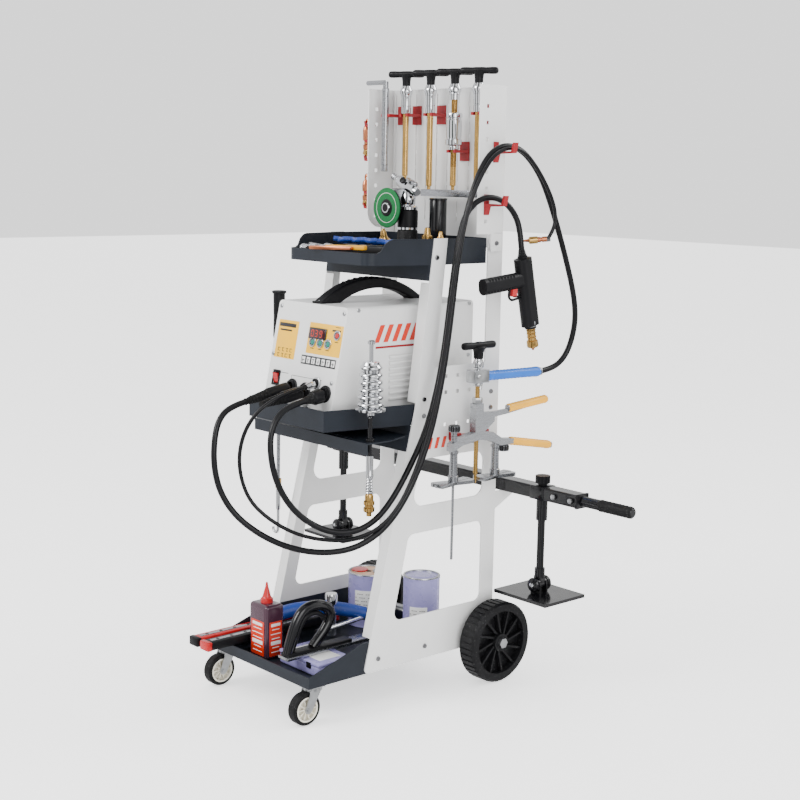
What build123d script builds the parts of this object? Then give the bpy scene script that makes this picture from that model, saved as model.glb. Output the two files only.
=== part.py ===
from build123d import *
import os
from math import cos, pi, radians, sin, tan

# Trolley spot welder for pulling dents: a sheet-metal trolley with a welder, its gun, cables and pulling tools.
# Millimetres. X is the trolley's right seen from the front, the front faces -Y and +Z is up.
# Pieces are drawn about the trolley's middle plane, x = 0, and STATION then puts the origin on the floor
# under the middle of the whole station.

os.makedirs("parts", exist_ok=True)

# ---- driving dimensions ----
SHEET = 3.0              # side frames and trays
FRAME_HALF = 190.0       # trolley's middle to the outer face of a side frame
INSIDE = FRAME_HALF - SHEET
DECK_FRONT, DECK_REAR = -440.0, 60.0
DECK_Z = 87.0            # underside of the base tray
SEAM_Z = 696.0           # joint between the lower and upper side frames
POST_FRONT, POST_REAR = 90.0, 136.0
RAIL_TOP, BAR_LOW, BAR_TOP = 198.0, 399.0, 463.0
BAND_LOW, BAND_TOP = 575.0, 789.0
LEG_FOOT_Y, LEG_SEAM_Y, LEG_TOP_Y = -281.0, -136.0, -86.0
LEG_WIDTH = 50.0
LEG_TOP_Z = 1087.0
FLANGE = 27.0            # inward fold along the front of each leg

WHEEL_R, WHEEL_W = 100.0, 49.4
WHEEL_X = 203.9          # inner face of a rear wheel
AXLE_R, AXLE_Y, AXLE_Z = 8.0, 108.0, 100.0
RUNNING = 0.05           # radial clearance of a running fit

CASTER_X, CASTER_Y = 167.0, -414.0
CASTER_R, CASTER_W, CASTER_TRAIL = 37.5, 26.0, 23.0
CASTER_PIN = 4.0

SHELF_Z, SHELF_FRONT, SHELF_NOSE = 658.0, -368.0, 141.0
SHELF_INSIDE = INSIDE - SHEET
SHELF_LIP = 48.0
RACK_FRONT, RACK_HALF, RACK_Z = -300.0, 212.0, 636.0
TOP_Z, TOP_FRONT, TOP_NOSE, TOP_REAR = 1026.0, -252.0, 145.0, 84.0

PANEL_HALF, PANEL_FRONT, PANEL_REAR = 200.0, 40.0, 126.0
PANEL_Z, PANEL_TOP = 1120.0, 1440.0
WING_LOW, PANEL_LOW = 1095.0, 1060.0
HOLE, PITCH, RIB = 9.0, 38.0, 2.0    # square peg holes, and the ribs between them

CASE_HALF, CASE_FRONT, CASE_REAR = 127.0, -340.0, 105.0
CASE_Z, CASE_TOP, CASE_LEAN = 675.0, 932.0, 52.0
CASE_SHEET = 2.0

BEAM_LEFT, BEAM_RIGHT, BEAM_Y, BEAM_Z = -490.0, 441.0, 172.0, 481.0
BEAM_D, BEAM_H = 40.0, 32.0
HANDLE_END, HANDLE_R = 592.0, 12.8
LEG_X = {"left": -440.0, "right": 313.0}
FOOT_LONG, FOOT_WIDE, FOOT_T, FOOT_Z = 170.0, 140.0, 8.0, 224.0
EYE_Z = 252.0

HAMMER = (196.0, -278.0)
HOOK_PULLER = (-198.0, -238.0)
RAILS_FRONT = -515.0     # the pulling rails stick out over the base tray's front lip

PULLER_X = 232.0
PULLER_REAR = 283.0      # rear end of the puller's lower grip
SCREW_Y = 23.0
GUN_X, GUN_Y = 252.0, 152.0
PULL_RODS = [(-105.0, 1226.0), (-16.0, 1202.0), (69.0, 1204.0), (150.0, 1192.0)]
ROD_Y = 82.0
SLIM_TOOL = (-160.0, 62.0)

CABLE_D, THIN_D = 14.0, 9.0

STATION = Location((
    -(LEG_X["left"] - FOOT_LONG / 2 + HANDLE_END) / 2,
    -(RAILS_FRONT + PULLER_REAR) / 2,
    0,
))


def write(piece, label):
    """Place one finished piece in the station's frame and write it."""
    placed = piece.part.moved(STATION)
    placed.label = label
    export_step(placed, f"parts/{label}.step")


def side_plane(side, inner=INSIDE):
    """Plane whose sketch is (y, z) and whose extrusion by SHEET makes a side plate."""
    return Plane.YZ.offset(inner if side == "right" else -inner - SHEET)


def leg_front(z):
    """Y of the lower leg's front edge at height z."""
    return LEG_FOOT_Y + (LEG_SEAM_Y - LEG_FOOT_Y) * (z - DECK_Z) / (SEAM_Z - DECK_Z)


def upper_front(z):
    """Y of the upper leg's front edge at height z."""
    return LEG_SEAM_Y + (LEG_TOP_Y - LEG_SEAM_Y) * (z - SEAM_Z) / (LEG_TOP_Z - SEAM_Z)


def case_front(z):
    """Y of the welder's leaning front face at height z."""
    return CASE_FRONT + CASE_LEAN * (z - CASE_Z) / (CASE_TOP - CASE_Z)


def leaning_plane(x, z):
    """Plane on the welder's front face at (x, z), its X along the trolley's X and its normal outwards."""
    return Plane(origin=(x, case_front(z), z), x_dir=(1, 0, 0), z_dir=(0, -(CASE_TOP - CASE_Z), CASE_LEAN))


# ---- trolley: base tray and side frames ----
SIDE_RISE_Y, SIDE_TOP = LEG_FOOT_Y, 162.0
LIP = 26.0
with BuildPart() as base_tray:
    with BuildSketch(Plane.XY.offset(DECK_Z)):
        with Locations((0, (DECK_FRONT + DECK_REAR) / 2)):
            Rectangle(2 * INSIDE, DECK_REAR - DECK_FRONT)
    extrude(amount=SHEET)
    for x in (-INSIDE, INSIDE - SHEET):
        with BuildSketch(Plane.YZ.offset(x)):
            Polygon(
                (DECK_FRONT, DECK_Z), (DECK_REAR, DECK_Z), (DECK_REAR, SIDE_TOP),
                (SIDE_RISE_Y, SIDE_TOP), (DECK_FRONT, DECK_Z + LIP), align=None,
            )
        extrude(amount=SHEET)
    with BuildSketch(Plane.XY.offset(DECK_Z)):
        with Locations((0, DECK_FRONT + SHEET / 2), (0, DECK_REAR - SHEET / 2)):
            Rectangle(2 * INSIDE, SHEET)
    extrude(amount=LIP)
    with BuildSketch(Plane.XY.offset(DECK_Z)):
        for x in (-CASTER_X, CASTER_X):
            with Locations((x, CASTER_Y)):
                with GridLocations(34, 34, 2, 2):
                    Circle(2.6)
    extrude(amount=SHEET, mode=Mode.SUBTRACT)
write(base_tray, "base_tray")

BOLTS_LOWER = [(-238.0, 117.0), (-91.0, 117.0), (-109.0, 677.0), (110.0, 677.0)]
BOLTS_UPPER = [(-109.0, 716.0), (110.0, 716.0), (-78.0, 1043.0)]
WING_BOLT = (105.0, 1073.0)
BOLT_R = 3.0
for side in ("left", "right"):
    sign = 1 if side == "right" else -1
    with BuildPart() as side_frame:
        with BuildSketch(side_plane(side)) as outline:
            Polygon(
                (LEG_FOOT_Y, DECK_Z), (LEG_SEAM_Y, SEAM_Z), (POST_REAR, SEAM_Z), (POST_REAR, DECK_Z), align=None,
            )
            fillet(outline.vertices().group_by(Axis.Y)[0], 12)
            with BuildSketch(mode=Mode.SUBTRACT) as low_window:
                Polygon(
                    (leg_front(RAIL_TOP) + 60, RAIL_TOP), (leg_front(BAR_LOW) + 58, BAR_LOW),
                    (POST_FRONT, BAR_LOW), (POST_FRONT, RAIL_TOP), align=None,
                )
                fillet(low_window.vertices(), 20)
            with BuildSketch(mode=Mode.SUBTRACT) as high_window:
                Polygon(
                    (leg_front(BAR_TOP) + LEG_WIDTH, BAR_TOP), (leg_front(BAND_LOW) + LEG_WIDTH, BAND_LOW),
                    (POST_FRONT, BAND_LOW), (POST_FRONT, BAR_TOP), align=None,
                )
                fillet(high_window.vertices(), 28)
            Polygon((POST_REAR, 421), (POST_REAR + 60, 452), (POST_REAR + 60, 464.9), (POST_REAR, 464.9), align=None)
            with Locations((POST_REAR + 62, 470)):
                Rectangle(6, 30)
            with Locations((AXLE_Y, AXLE_Z)):
                Circle(AXLE_R, mode=Mode.SUBTRACT)
            with Locations(*BOLTS_LOWER):
                Circle(BOLT_R, mode=Mode.SUBTRACT)
            with Locations((-40, 650), (-2, 650), (36, 650), (74, 650), (-40, 612), (-2, 612), (36, 612), (74, 612)):
                Rectangle(HOLE, HOLE, mode=Mode.SUBTRACT)
        extrude(amount=SHEET)
        with BuildSketch(Plane.YZ.offset(sign * INSIDE)):
            Polygon(
                (leg_front(169), 169), (leg_front(598), 598), (leg_front(598) + SHEET, 598),
                (leg_front(169) + SHEET, 169), align=None,
            )
        extrude(amount=-sign * FLANGE)
    write(side_frame, f"side_frame_{side}")

    with BuildPart() as upper_frame:
        with BuildSketch(side_plane(side)) as outline:
            Polygon(
                (LEG_SEAM_Y, SEAM_Z), (POST_REAR, SEAM_Z), (POST_REAR, BAND_TOP),
                (upper_front(BAND_TOP), BAND_TOP), align=None,
            )
            Polygon(
                (upper_front(BAND_TOP - 1), BAND_TOP - 1), (LEG_TOP_Y, LEG_TOP_Z), (LEG_TOP_Y + 41, LEG_TOP_Z),
                (upper_front(BAND_TOP) + 48, BAND_TOP - 1), align=None,
            )
            Polygon(
                (POST_FRONT - 3, BAND_TOP - 1), (POST_REAR, BAND_TOP - 1), (POST_REAR, PANEL_Z),
                (POST_FRONT - 3, PANEL_Z), align=None,
            )
            inner = outline.vertices().filter_by_position(Axis.Y, -60, 89).filter_by_position(Axis.Z, 780, 795)
            fillet(inner, 30)
            with Locations(*BOLTS_UPPER, WING_BOLT):
                Circle(BOLT_R, mode=Mode.SUBTRACT)
            with Locations((-40, 765), (-2, 765), (36, 765), (74, 765), (-40, 727), (-2, 727), (36, 727), (74, 727)):
                Rectangle(HOLE, HOLE, mode=Mode.SUBTRACT)
        extrude(amount=SHEET)
        with BuildSketch(Plane.YZ.offset(sign * INSIDE)):
            Polygon(
                (upper_front(710), 710), (upper_front(985), 985), (upper_front(985) + SHEET, 985),
                (upper_front(710) + SHEET, 710), align=None,
            )
        extrude(amount=-sign * FLANGE)
        for y in (-109.0, 110.0):
            with BuildSketch(Plane.YZ.offset(sign * INSIDE)):
                with Locations((y, SEAM_Z)):
                    Rectangle(24, 60)
                with Locations((y, 677), (y, 716)):
                    Circle(BOLT_R, mode=Mode.SUBTRACT)
            extrude(amount=-sign * SHEET)
    write(upper_frame, f"upper_frame_{side}")

HEAD_R, HEAD_H = 6.0, 3.0
with BuildPart() as frame_bolts:
    for sign in (-1, 1):
        for (y, z), face in [(at, FRAME_HALF) for at in BOLTS_LOWER + BOLTS_UPPER] + [(WING_BOLT, PANEL_HALF)]:
            with BuildSketch(Plane.YZ.offset(sign * face)):
                with Locations((y, z)):
                    Circle(HEAD_R)
            extrude(amount=sign * HEAD_H, taper=20)
            with BuildSketch(Plane.YZ.offset(sign * face)):
                with Locations((y, z)):
                    Circle(BOLT_R)
            extrude(amount=-sign * (face - INSIDE))
write(frame_bolts, "frame_bolts")

# ---- middle shelf, tool rack and top tray ----
with BuildPart() as mid_shelf:
    with BuildSketch(Plane.XY.offset(SHELF_Z)) as shelf_outline:
        Polygon(
            (-SHELF_NOSE, SHELF_FRONT), (SHELF_NOSE, SHELF_FRONT), (SHELF_INSIDE, -140), (SHELF_INSIDE, DECK_REAR),
            (-SHELF_INSIDE, DECK_REAR), (-SHELF_INSIDE, -140), align=None,
        )
    extrude(amount=SHELF_LIP)
    with BuildSketch(Plane.XY.offset(SHELF_Z + SHEET)):
        offset(shelf_outline.sketch.face(), amount=-SHEET, kind=Kind.INTERSECTION)
        with Locations((0, DECK_REAR)):
            Rectangle(2 * SHELF_INSIDE, 4 * SHEET)
    extrude(amount=SHELF_LIP, mode=Mode.SUBTRACT)
write(mid_shelf, "mid_shelf")

APRON_LOW = 598.0
with BuildPart() as tool_rack:
    with BuildSketch(Plane.XY.offset(RACK_Z - SHEET)) as rack_outline:
        Polygon(
            (-RACK_HALF, RACK_FRONT), (RACK_HALF, RACK_FRONT), (RACK_HALF, -230), (INSIDE, -165),
            (INSIDE, leg_front(RACK_Z) - SHEET), (-INSIDE, leg_front(RACK_Z) - SHEET), (-INSIDE, -165),
            (-RACK_HALF, -230), align=None,
        )
        with Locations(HAMMER, HOOK_PULLER):
            Circle(7, mode=Mode.SUBTRACT)
        with Locations(*[(-150 + 40 * i, -284) for i in range(8)]):
            SlotOverall(26, 9, mode=Mode.SUBTRACT)
    extrude(amount=SHEET)
    with BuildSketch(Plane.XY.offset(RACK_Z - 28)):
        with Locations((0, RACK_FRONT + SHEET / 2)):
            Rectangle(2 * RACK_HALF, SHEET)
    extrude(amount=28)
    with BuildSketch(Plane.YZ.offset(-INSIDE)):
        Polygon(
            (leg_front(APRON_LOW) - SHEET, APRON_LOW), (leg_front(APRON_LOW), APRON_LOW),
            (leg_front(SHELF_Z), SHELF_Z), (leg_front(SHELF_Z) - SHEET, SHELF_Z), align=None,
        )
    extrude(amount=2 * INSIDE)
write(tool_rack, "tool_rack")

with BuildPart() as top_tray:
    with BuildSketch(Plane.XY.offset(TOP_Z)) as top_outline:
        Polygon(
            (-TOP_NOSE, TOP_FRONT), (TOP_NOSE, TOP_FRONT), (INSIDE, -95), (INSIDE, TOP_REAR),
            (-INSIDE, TOP_REAR), (-INSIDE, -95), align=None,
        )
        fillet(top_outline.vertices().group_by(Axis.Y)[0], 28)
    extrude(amount=60)
    with BuildSketch(Plane.XY.offset(TOP_Z + SHEET)):
        offset(top_outline.sketch.face(), amount=-SHEET, kind=Kind.INTERSECTION)
    extrude(amount=60, mode=Mode.SUBTRACT)
    with BuildSketch(Plane.YZ.offset(-INSIDE)):
        Polygon(
            (TOP_FRONT - 1, TOP_Z + 28), (TOP_FRONT + 26, TOP_Z + 28), (TOP_FRONT + 36, TOP_Z + 33),
            (TOP_FRONT + 44, TOP_Z + 48), (TOP_FRONT + 56, TOP_Z + 57), (TOP_FRONT + 72, TOP_Z + 61),
            (TOP_FRONT - 1, TOP_Z + 61), align=None,
        )
    extrude(amount=2 * INSIDE, mode=Mode.SUBTRACT)
    with BuildSketch(Plane.YZ.offset(-INSIDE)):
        Polygon(
            (upper_front(990) - SHEET, 990), (upper_front(990), 990), (upper_front(TOP_Z), TOP_Z),
            (upper_front(TOP_Z) - SHEET, TOP_Z), align=None,
        )
    extrude(amount=2 * INSIDE)
write(top_tray, "top_tray")

# ---- tool panel with its wings, ribs and peg holes ----
with BuildPart() as tool_panel:
    with BuildSketch(Plane.XY.offset(PANEL_Z)):
        with Locations((0, PANEL_REAR - SHEET / 2)):
            Rectangle(2 * PANEL_HALF, SHEET)
    extrude(amount=PANEL_TOP - PANEL_Z)
    for x in (-PANEL_HALF, PANEL_HALF - SHEET):
        with BuildSketch(Plane.YZ.offset(x)) as wing:
            Polygon(
                (PANEL_FRONT, WING_LOW), (PANEL_REAR, WING_LOW), (PANEL_REAR, PANEL_TOP),
                (PANEL_FRONT, PANEL_TOP), align=None,
            )
            fillet(wing.vertices().group_by(Axis.Y)[0].sort_by(Axis.Z)[-1], 42)
            with Locations((106, 1075)):
                Rectangle(40, 42)
            with Locations(*[(66, WING_LOW + 30 + PITCH * i) for i in range(8)]):
                Rectangle(HOLE, HOLE, mode=Mode.SUBTRACT)
            with Locations(WING_BOLT):
                Circle(BOLT_R, mode=Mode.SUBTRACT)
        extrude(amount=SHEET)
    with BuildSketch(Plane.XZ.offset(-PANEL_REAR)):
        with Locations((0, (PANEL_TOP + WING_LOW) / 2)):
            with GridLocations(PITCH, PITCH, 9, 8):
                Rectangle(HOLE, HOLE)
    extrude(amount=SHEET, mode=Mode.SUBTRACT)
    with BuildSketch(Plane.XY.offset(PANEL_Z)):
        with Locations(*[(-190 + PITCH * i, PANEL_REAR - SHEET - RIB / 2) for i in range(11)]):
            Rectangle(8, RIB)
    extrude(amount=PANEL_TOP - PANEL_Z - 12)
    with BuildSketch(Plane.XY.offset(PANEL_LOW)):
        with Locations((0, PANEL_REAR - SHEET / 2)):
            Rectangle(2 * INSIDE - 1, SHEET)
    extrude(amount=PANEL_Z - PANEL_LOW)
    for sign in (-1, 1):
        with BuildSketch(Plane.YZ.offset(sign * FRAME_HALF)):
            with Locations((106, 1087)):
                Rectangle(34, 62)
            with Locations(WING_BOLT):
                Circle(BOLT_R, mode=Mode.SUBTRACT)
        extrude(amount=sign * 7)
write(tool_panel, "tool_panel")

# ---- rear axle and wheels ----
COLLAR_R, NUT_W = 14.0, 8.0
NUT_X = WHEEL_X + WHEEL_W + 0.3
with BuildPart() as rear_axle:
    with BuildSketch(Plane.YZ.offset(-NUT_X - NUT_W)):
        with Locations((AXLE_Y, AXLE_Z)):
            Circle(AXLE_R)
    extrude(amount=2 * (NUT_X + NUT_W))
    for sign in (-1, 1):
        with BuildSketch(Plane.YZ.offset(sign * FRAME_HALF)):
            with Locations((AXLE_Y, AXLE_Z)):
                Circle(COLLAR_R)
        extrude(amount=sign * (WHEEL_X - 0.3 - FRAME_HALF))
        with BuildSketch(Plane.YZ.offset(sign * NUT_X)):
            with Locations((AXLE_Y, AXLE_Z)):
                RegularPolygon(13, 6)
        extrude(amount=sign * NUT_W)
write(rear_axle, "rear_axle")

TREAD_BARS, SPOKES, RIM_R, HUB_R = 40, 12, 78.0, 22.0
for side, face in (("left", -WHEEL_X - WHEEL_W), ("right", WHEEL_X)):
    hub_plane = Plane(origin=(face, AXLE_Y, AXLE_Z), x_dir=(0, 1, 0), z_dir=(1, 0, 0))
    with BuildPart() as wheel:
        with BuildSketch(hub_plane):
            Circle(WHEEL_R)
            Circle(RIM_R, mode=Mode.SUBTRACT)
        extrude(amount=WHEEL_W)
        chamfer(wheel.edges().filter_by(GeomType.CIRCLE).filter_by(lambda e: e.radius > 90), 5)
        with BuildSketch(hub_plane.offset(WHEEL_W / 2 - 4)):
            Circle(RIM_R + 1)
        extrude(amount=8)
        with BuildSketch(hub_plane):
            Circle(HUB_R)
        extrude(amount=WHEEL_W)
        with BuildSketch(hub_plane.offset(6)):
            with PolarLocations(0, SPOKES):
                with Locations(Location((49, 4, 0), 14)):
                    Rectangle(62, 5)
        extrude(amount=WHEEL_W - 12)
        with BuildSketch(hub_plane):
            with PolarLocations(WHEEL_R, TREAD_BARS):
                Rectangle(4, 5)
        extrude(amount=WHEEL_W, mode=Mode.SUBTRACT)
        with BuildSketch(hub_plane):
            Circle(AXLE_R + RUNNING)
        extrude(amount=WHEEL_W, mode=Mode.SUBTRACT)
    write(wheel, f"rear_wheel_{side}")

# ---- swivel casters ----
PLATE_T, KINGPIN_R, FORK_TOP = 3.0, 6.0, 83.6
FORK_IN, FORK_T = 15.0, 2.5
RIM_CASTER = 29.0
with BuildPart() as caster_plates:
    for x in (-CASTER_X, CASTER_X):
        with BuildSketch(Plane.XY.offset(DECK_Z - PLATE_T)):
            with Locations((x, CASTER_Y)):
                Rectangle(38, 46)
                with GridLocations(34, 34, 2, 2):
                    Circle(2.6, mode=Mode.SUBTRACT)
        extrude(amount=PLATE_T)
        with BuildSketch(Plane.XY.offset(FORK_TOP - 8)):
            with Locations((x, CASTER_Y)):
                Circle(KINGPIN_R)
        extrude(amount=DECK_Z - PLATE_T - FORK_TOP + 8)
write(caster_plates, "caster_plates")

for side in ("left", "right"):
    x = CASTER_X if side == "right" else -CASTER_X
    hub_y = CASTER_Y - CASTER_TRAIL
    with BuildPart() as caster_fork:
        with BuildSketch(Plane.XY.offset(FORK_TOP - 6)):
            with Locations((x, CASTER_Y)):
                Circle(20)
                Rectangle(2 * (FORK_IN + FORK_T), 30)
        extrude(amount=6)
        for leg_x in (x - FORK_IN - FORK_T, x + FORK_IN):
            with BuildSketch(Plane.YZ.offset(leg_x)) as leg_outline:
                Polygon(
                    (CASTER_Y - 15, FORK_TOP), (hub_y - 9, CASTER_R), (hub_y + 9, CASTER_R - 5),
                    (CASTER_Y + 15, FORK_TOP), align=None,
                )
                with Locations((hub_y, CASTER_R)):
                    Circle(9)
            extrude(amount=FORK_T)
        with BuildSketch(Plane.XY.offset(FORK_TOP - 8.5)):
            with Locations((x, CASTER_Y)):
                Circle(KINGPIN_R + RUNNING)
        extrude(amount=10, mode=Mode.SUBTRACT)
        with BuildSketch(Plane.YZ.offset(x - FORK_IN - FORK_T - 3)):
            with Locations((hub_y, CASTER_R)):
                Circle(CASTER_PIN)
        extrude(amount=2 * (FORK_IN + FORK_T + 3))
    write(caster_fork, f"caster_fork_{side}")

    rim_plane = Plane(origin=(x - CASTER_W / 2, hub_y, CASTER_R), x_dir=(0, 1, 0), z_dir=(1, 0, 0))
    with BuildPart() as caster_rim:
        with BuildSketch(rim_plane):
            Circle(RIM_CASTER)
            Circle(RIM_CASTER - 3.5, mode=Mode.SUBTRACT)
            Circle(9)
        extrude(amount=CASTER_W)
        with BuildSketch(rim_plane.offset(CASTER_W / 2 - 3)):
            Circle(RIM_CASTER - 1)
        extrude(amount=6)
        with BuildSketch(rim_plane.offset(3)):
            with PolarLocations(17, 10):
                Rectangle(19, 2)
        extrude(amount=CASTER_W - 6)
        with BuildSketch(rim_plane):
            Circle(CASTER_PIN + RUNNING)
        extrude(amount=CASTER_W, mode=Mode.SUBTRACT)
    write(caster_rim, f"caster_rim_{side}")

    with BuildPart() as caster_tyre:
        with BuildSketch(rim_plane):
            Circle(CASTER_R)
            Circle(RIM_CASTER, mode=Mode.SUBTRACT)
        extrude(amount=CASTER_W)
        fillet(caster_tyre.edges().filter_by(GeomType.CIRCLE).filter_by(lambda e: e.radius > 35), 4)
    write(caster_tyre, f"caster_tyre_{side}")

# ---- welder: chassis with its feet and fan motor, cover, front and handle ----
FEET_H = CASE_Z - SHELF_Z - SHEET
SHELL_FRONT = 42.0       # depth of the moulded front
FAN_AT = (0.0, 800.0)
FAN_SHAFT_R = 4.0
with BuildPart() as welder_chassis:
    with BuildSketch(Plane.XY.offset(CASE_Z)):
        with Locations((0, (CASE_FRONT + SHELL_FRONT + 2 + CASE_REAR) / 2)):
            Rectangle(2 * (CASE_HALF - CASE_SHEET), CASE_REAR - CASE_FRONT - SHELL_FRONT - 2)
    extrude(amount=CASE_SHEET)
    with BuildSketch(Plane.XZ.offset(-CASE_REAR)) as rear_sketch:
        with Locations((0, (CASE_Z + CASE_TOP - CASE_SHEET) / 2)):
            Rectangle(2 * (CASE_HALF - CASE_SHEET), CASE_TOP - CASE_SHEET - CASE_Z)
        fillet(rear_sketch.vertices().group_by(Axis.Y)[-1], 8)
        with Locations(FAN_AT):
            Circle(44, mode=Mode.SUBTRACT)
            Circle(12)
            with PolarLocations(28, 4):
                Rectangle(40, 4)
    extrude(amount=CASE_SHEET)
    for depth, radius in ((16, 12), (34, FAN_SHAFT_R)):
        with BuildSketch(Plane.XZ.offset(-CASE_REAR + CASE_SHEET)):
            with Locations(FAN_AT):
                Circle(radius)
        extrude(amount=depth)
    with BuildSketch(Plane.XY.offset(CASE_Z)):
        with Locations((-90, -270), (90, -270), (-100, 30), (100, 30)):
            Circle(13)
    extrude(amount=-FEET_H)
write(welder_chassis, "welder_chassis")

LOUVRES = 8
with BuildPart() as welder_cover:
    with BuildSketch(Plane.XZ.offset(-CASE_REAR)) as cover_section:
        with Locations((0, (CASE_Z + CASE_TOP) / 2)):
            Rectangle(2 * CASE_HALF, CASE_TOP - CASE_Z)
        fillet(cover_section.vertices().group_by(Axis.Y)[-1], 10)
        with BuildSketch(mode=Mode.SUBTRACT) as cover_hollow:
            with Locations((0, (CASE_Z + CASE_TOP) / 2 - CASE_SHEET)):
                Rectangle(2 * (CASE_HALF - CASE_SHEET), CASE_TOP - CASE_Z)
            fillet(cover_hollow.vertices().group_by(Axis.Y)[-1], 8)
    extrude(amount=CASE_REAR - CASE_FRONT)
    with BuildSketch(Plane.YZ.offset(-CASE_HALF)):
        Polygon(
            (CASE_FRONT - 1, CASE_Z - 1), (case_front(CASE_Z - 1) + SHELL_FRONT, CASE_Z - 1),
            (case_front(CASE_TOP + 1) + SHELL_FRONT, CASE_TOP + 1), (CASE_FRONT - 1, CASE_TOP + 1), align=None,
        )
    extrude(amount=2 * CASE_HALF, mode=Mode.SUBTRACT)
    for x in (-CASE_HALF, CASE_HALF - CASE_SHEET):
        with BuildSketch(Plane.YZ.offset(x)):
            with Locations(*[(-128, 712 + 14 * i) for i in range(LOUVRES)]):
                SlotOverall(66, 5)
        extrude(amount=CASE_SHEET, mode=Mode.SUBTRACT)
write(welder_cover, "welder_cover")

BUTTONS = {"green_1": (22.0, 846.0), "green_2": (50.0, 846.0), "green_3": (78.0, 846.0), "red": (106.0, 868.0)}
BUTTON_R, BUTTON_GAP, BUTTON_IN = 6.0, 0.3, 12.0
SOCKETS = [(-28.0, 738.0, 15.0), (22.0, 735.0, 15.0), (60.0, 756.0, 10.0), (96.0, 736.0, 16.0)]
SWITCH = (-92.0, 752.0)
FRONT_T = 3.0
with BuildPart() as welder_front:
    with BuildSketch(Plane.YZ.offset(-CASE_HALF)) as front_profile:
        Polygon(
            (case_front(CASE_Z), CASE_Z), (case_front(CASE_TOP), CASE_TOP),
            (case_front(CASE_TOP) + SHELL_FRONT, CASE_TOP), (case_front(CASE_Z) + SHELL_FRONT, CASE_Z), align=None,
        )
    extrude(amount=2 * CASE_HALF)
    fillet(welder_front.edges().filter_by(Axis.Y).group_by(Axis.Z)[-1], 10)
    with BuildSketch(Plane.YZ.offset(-CASE_HALF + FRONT_T)):
        Polygon(
            (case_front(CASE_Z) + FRONT_T, CASE_Z + FRONT_T), (case_front(CASE_TOP) + FRONT_T, CASE_TOP - FRONT_T),
            (case_front(CASE_TOP) + SHELL_FRONT + 1, CASE_TOP - FRONT_T),
            (case_front(CASE_Z) + SHELL_FRONT + 1, CASE_Z + FRONT_T), align=None,
        )
    extrude(amount=2 * (CASE_HALF - FRONT_T), mode=Mode.SUBTRACT)
    for x, z in BUTTONS.values():
        with BuildSketch(leaning_plane(x, z)):
            Circle(BUTTON_R + BUTTON_GAP)
        extrude(amount=-2 * FRONT_T, mode=Mode.SUBTRACT)
    for x, z, r in SOCKETS:
        with BuildSketch(leaning_plane(x, z)):
            Circle(r - 3)
        extrude(amount=-2 * FRONT_T, mode=Mode.SUBTRACT)
    with BuildSketch(leaning_plane(*SWITCH)):
        Rectangle(21, 29)
    extrude(amount=-2 * FRONT_T, mode=Mode.SUBTRACT)
write(welder_front, "welder_front")

for label, (x, z) in BUTTONS.items():
    with BuildPart() as button:
        with BuildSketch(leaning_plane(x, z).offset(-BUTTON_IN)):
            Circle(BUTTON_R)
        extrude(amount=BUTTON_IN + 3)
        fillet(button.edges().sort_by(Axis.Y)[0], 1.2)
        with BuildSketch(leaning_plane(x, z).offset(-BUTTON_IN)):
            Circle(BUTTON_R + 2.5)
        extrude(amount=2)
    write(button, f"button_{label}")

ROCK = 10.0
with BuildPart() as power_switch:
    rocker_plane = Plane.YZ.offset(SWITCH[0] - 9)
    with BuildSketch(rocker_plane):
        axis_y, axis_z = case_front(SWITCH[1]) + 5, SWITCH[1]
        Polygon(
            (axis_y - 6, axis_z - 12), (axis_y - 11, axis_z + 12), (axis_y + 8, axis_z + 9),
            (axis_y + 8, axis_z - 9), align=None,
        )
    extrude(amount=18)
write(power_switch, "power_switch")

with BuildPart() as output_sockets:
    for x, z, r in SOCKETS:
        with BuildSketch(leaning_plane(x, z)):
            Circle(r)
            Circle(r - 4, mode=Mode.SUBTRACT)
        extrude(amount=8)
        with BuildSketch(leaning_plane(x, z)):
            Circle(r - 3)
        extrude(amount=-24)
write(output_sockets, "output_sockets")

HANDLE_A, HANDLE_B, HANDLE_H, HANDLE_W = -280.0, 42.0, 56.0, 34.0
with BuildPart() as carry_handle:
    with BuildSketch(Plane.YZ.offset(-HANDLE_W / 2)):
        with BuildLine():
            mid = (HANDLE_A + HANDLE_B) / 2
            ThreePointArc((HANDLE_A, CASE_TOP), (mid, CASE_TOP + HANDLE_H), (HANDLE_B, CASE_TOP))
            Line((HANDLE_B, CASE_TOP), (HANDLE_B - 38, CASE_TOP))
            ThreePointArc((HANDLE_B - 38, CASE_TOP), (mid + 8, CASE_TOP + HANDLE_H - 26), (HANDLE_A + 62, CASE_TOP))
            Line((HANDLE_A + 62, CASE_TOP), (HANDLE_A, CASE_TOP))
        make_face()
    extrude(amount=HANDLE_W)
    fillet(carry_handle.edges().filter_by(GeomType.CIRCLE), 5)
write(carry_handle, "carry_handle")

# ---- welder: what is inside ----
CORE_Z = CASE_Z + CASE_SHEET
with BuildPart() as transformer:
    with BuildSketch(Plane.XZ.offset(110)):
        with Locations((0, CORE_Z + 60)):
            Rectangle(150, 120)
            with Locations((-37, 0), (37, 0)):
                Rectangle(30, 76, mode=Mode.SUBTRACT)
    extrude(amount=60)
    with BuildSketch(Plane.XY.offset(CORE_Z + 24)):
        with Locations((0, -140)):
            RectangleRounded(100, 112, 18)
    extrude(amount=72)
write(transformer, "transformer")

with BuildPart() as control_board:
    with BuildSketch(Plane.XY.offset(CORE_Z + 128)):
        with Locations((0, -170)):
            Rectangle(190, 130)
    extrude(amount=2)
    with BuildSketch(Plane.XY.offset(CORE_Z + 120)):
        with Locations((-50, -140), (50, -140)):
            Rectangle(12, 12)
    extrude(amount=8)
    with BuildSketch(Plane.XY.offset(CORE_Z + 130)):
        with Locations((-60, -170), (-10, -150), (40, -190)):
            Rectangle(26, 34)
    extrude(amount=18)
write(control_board, "control_board")

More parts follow.
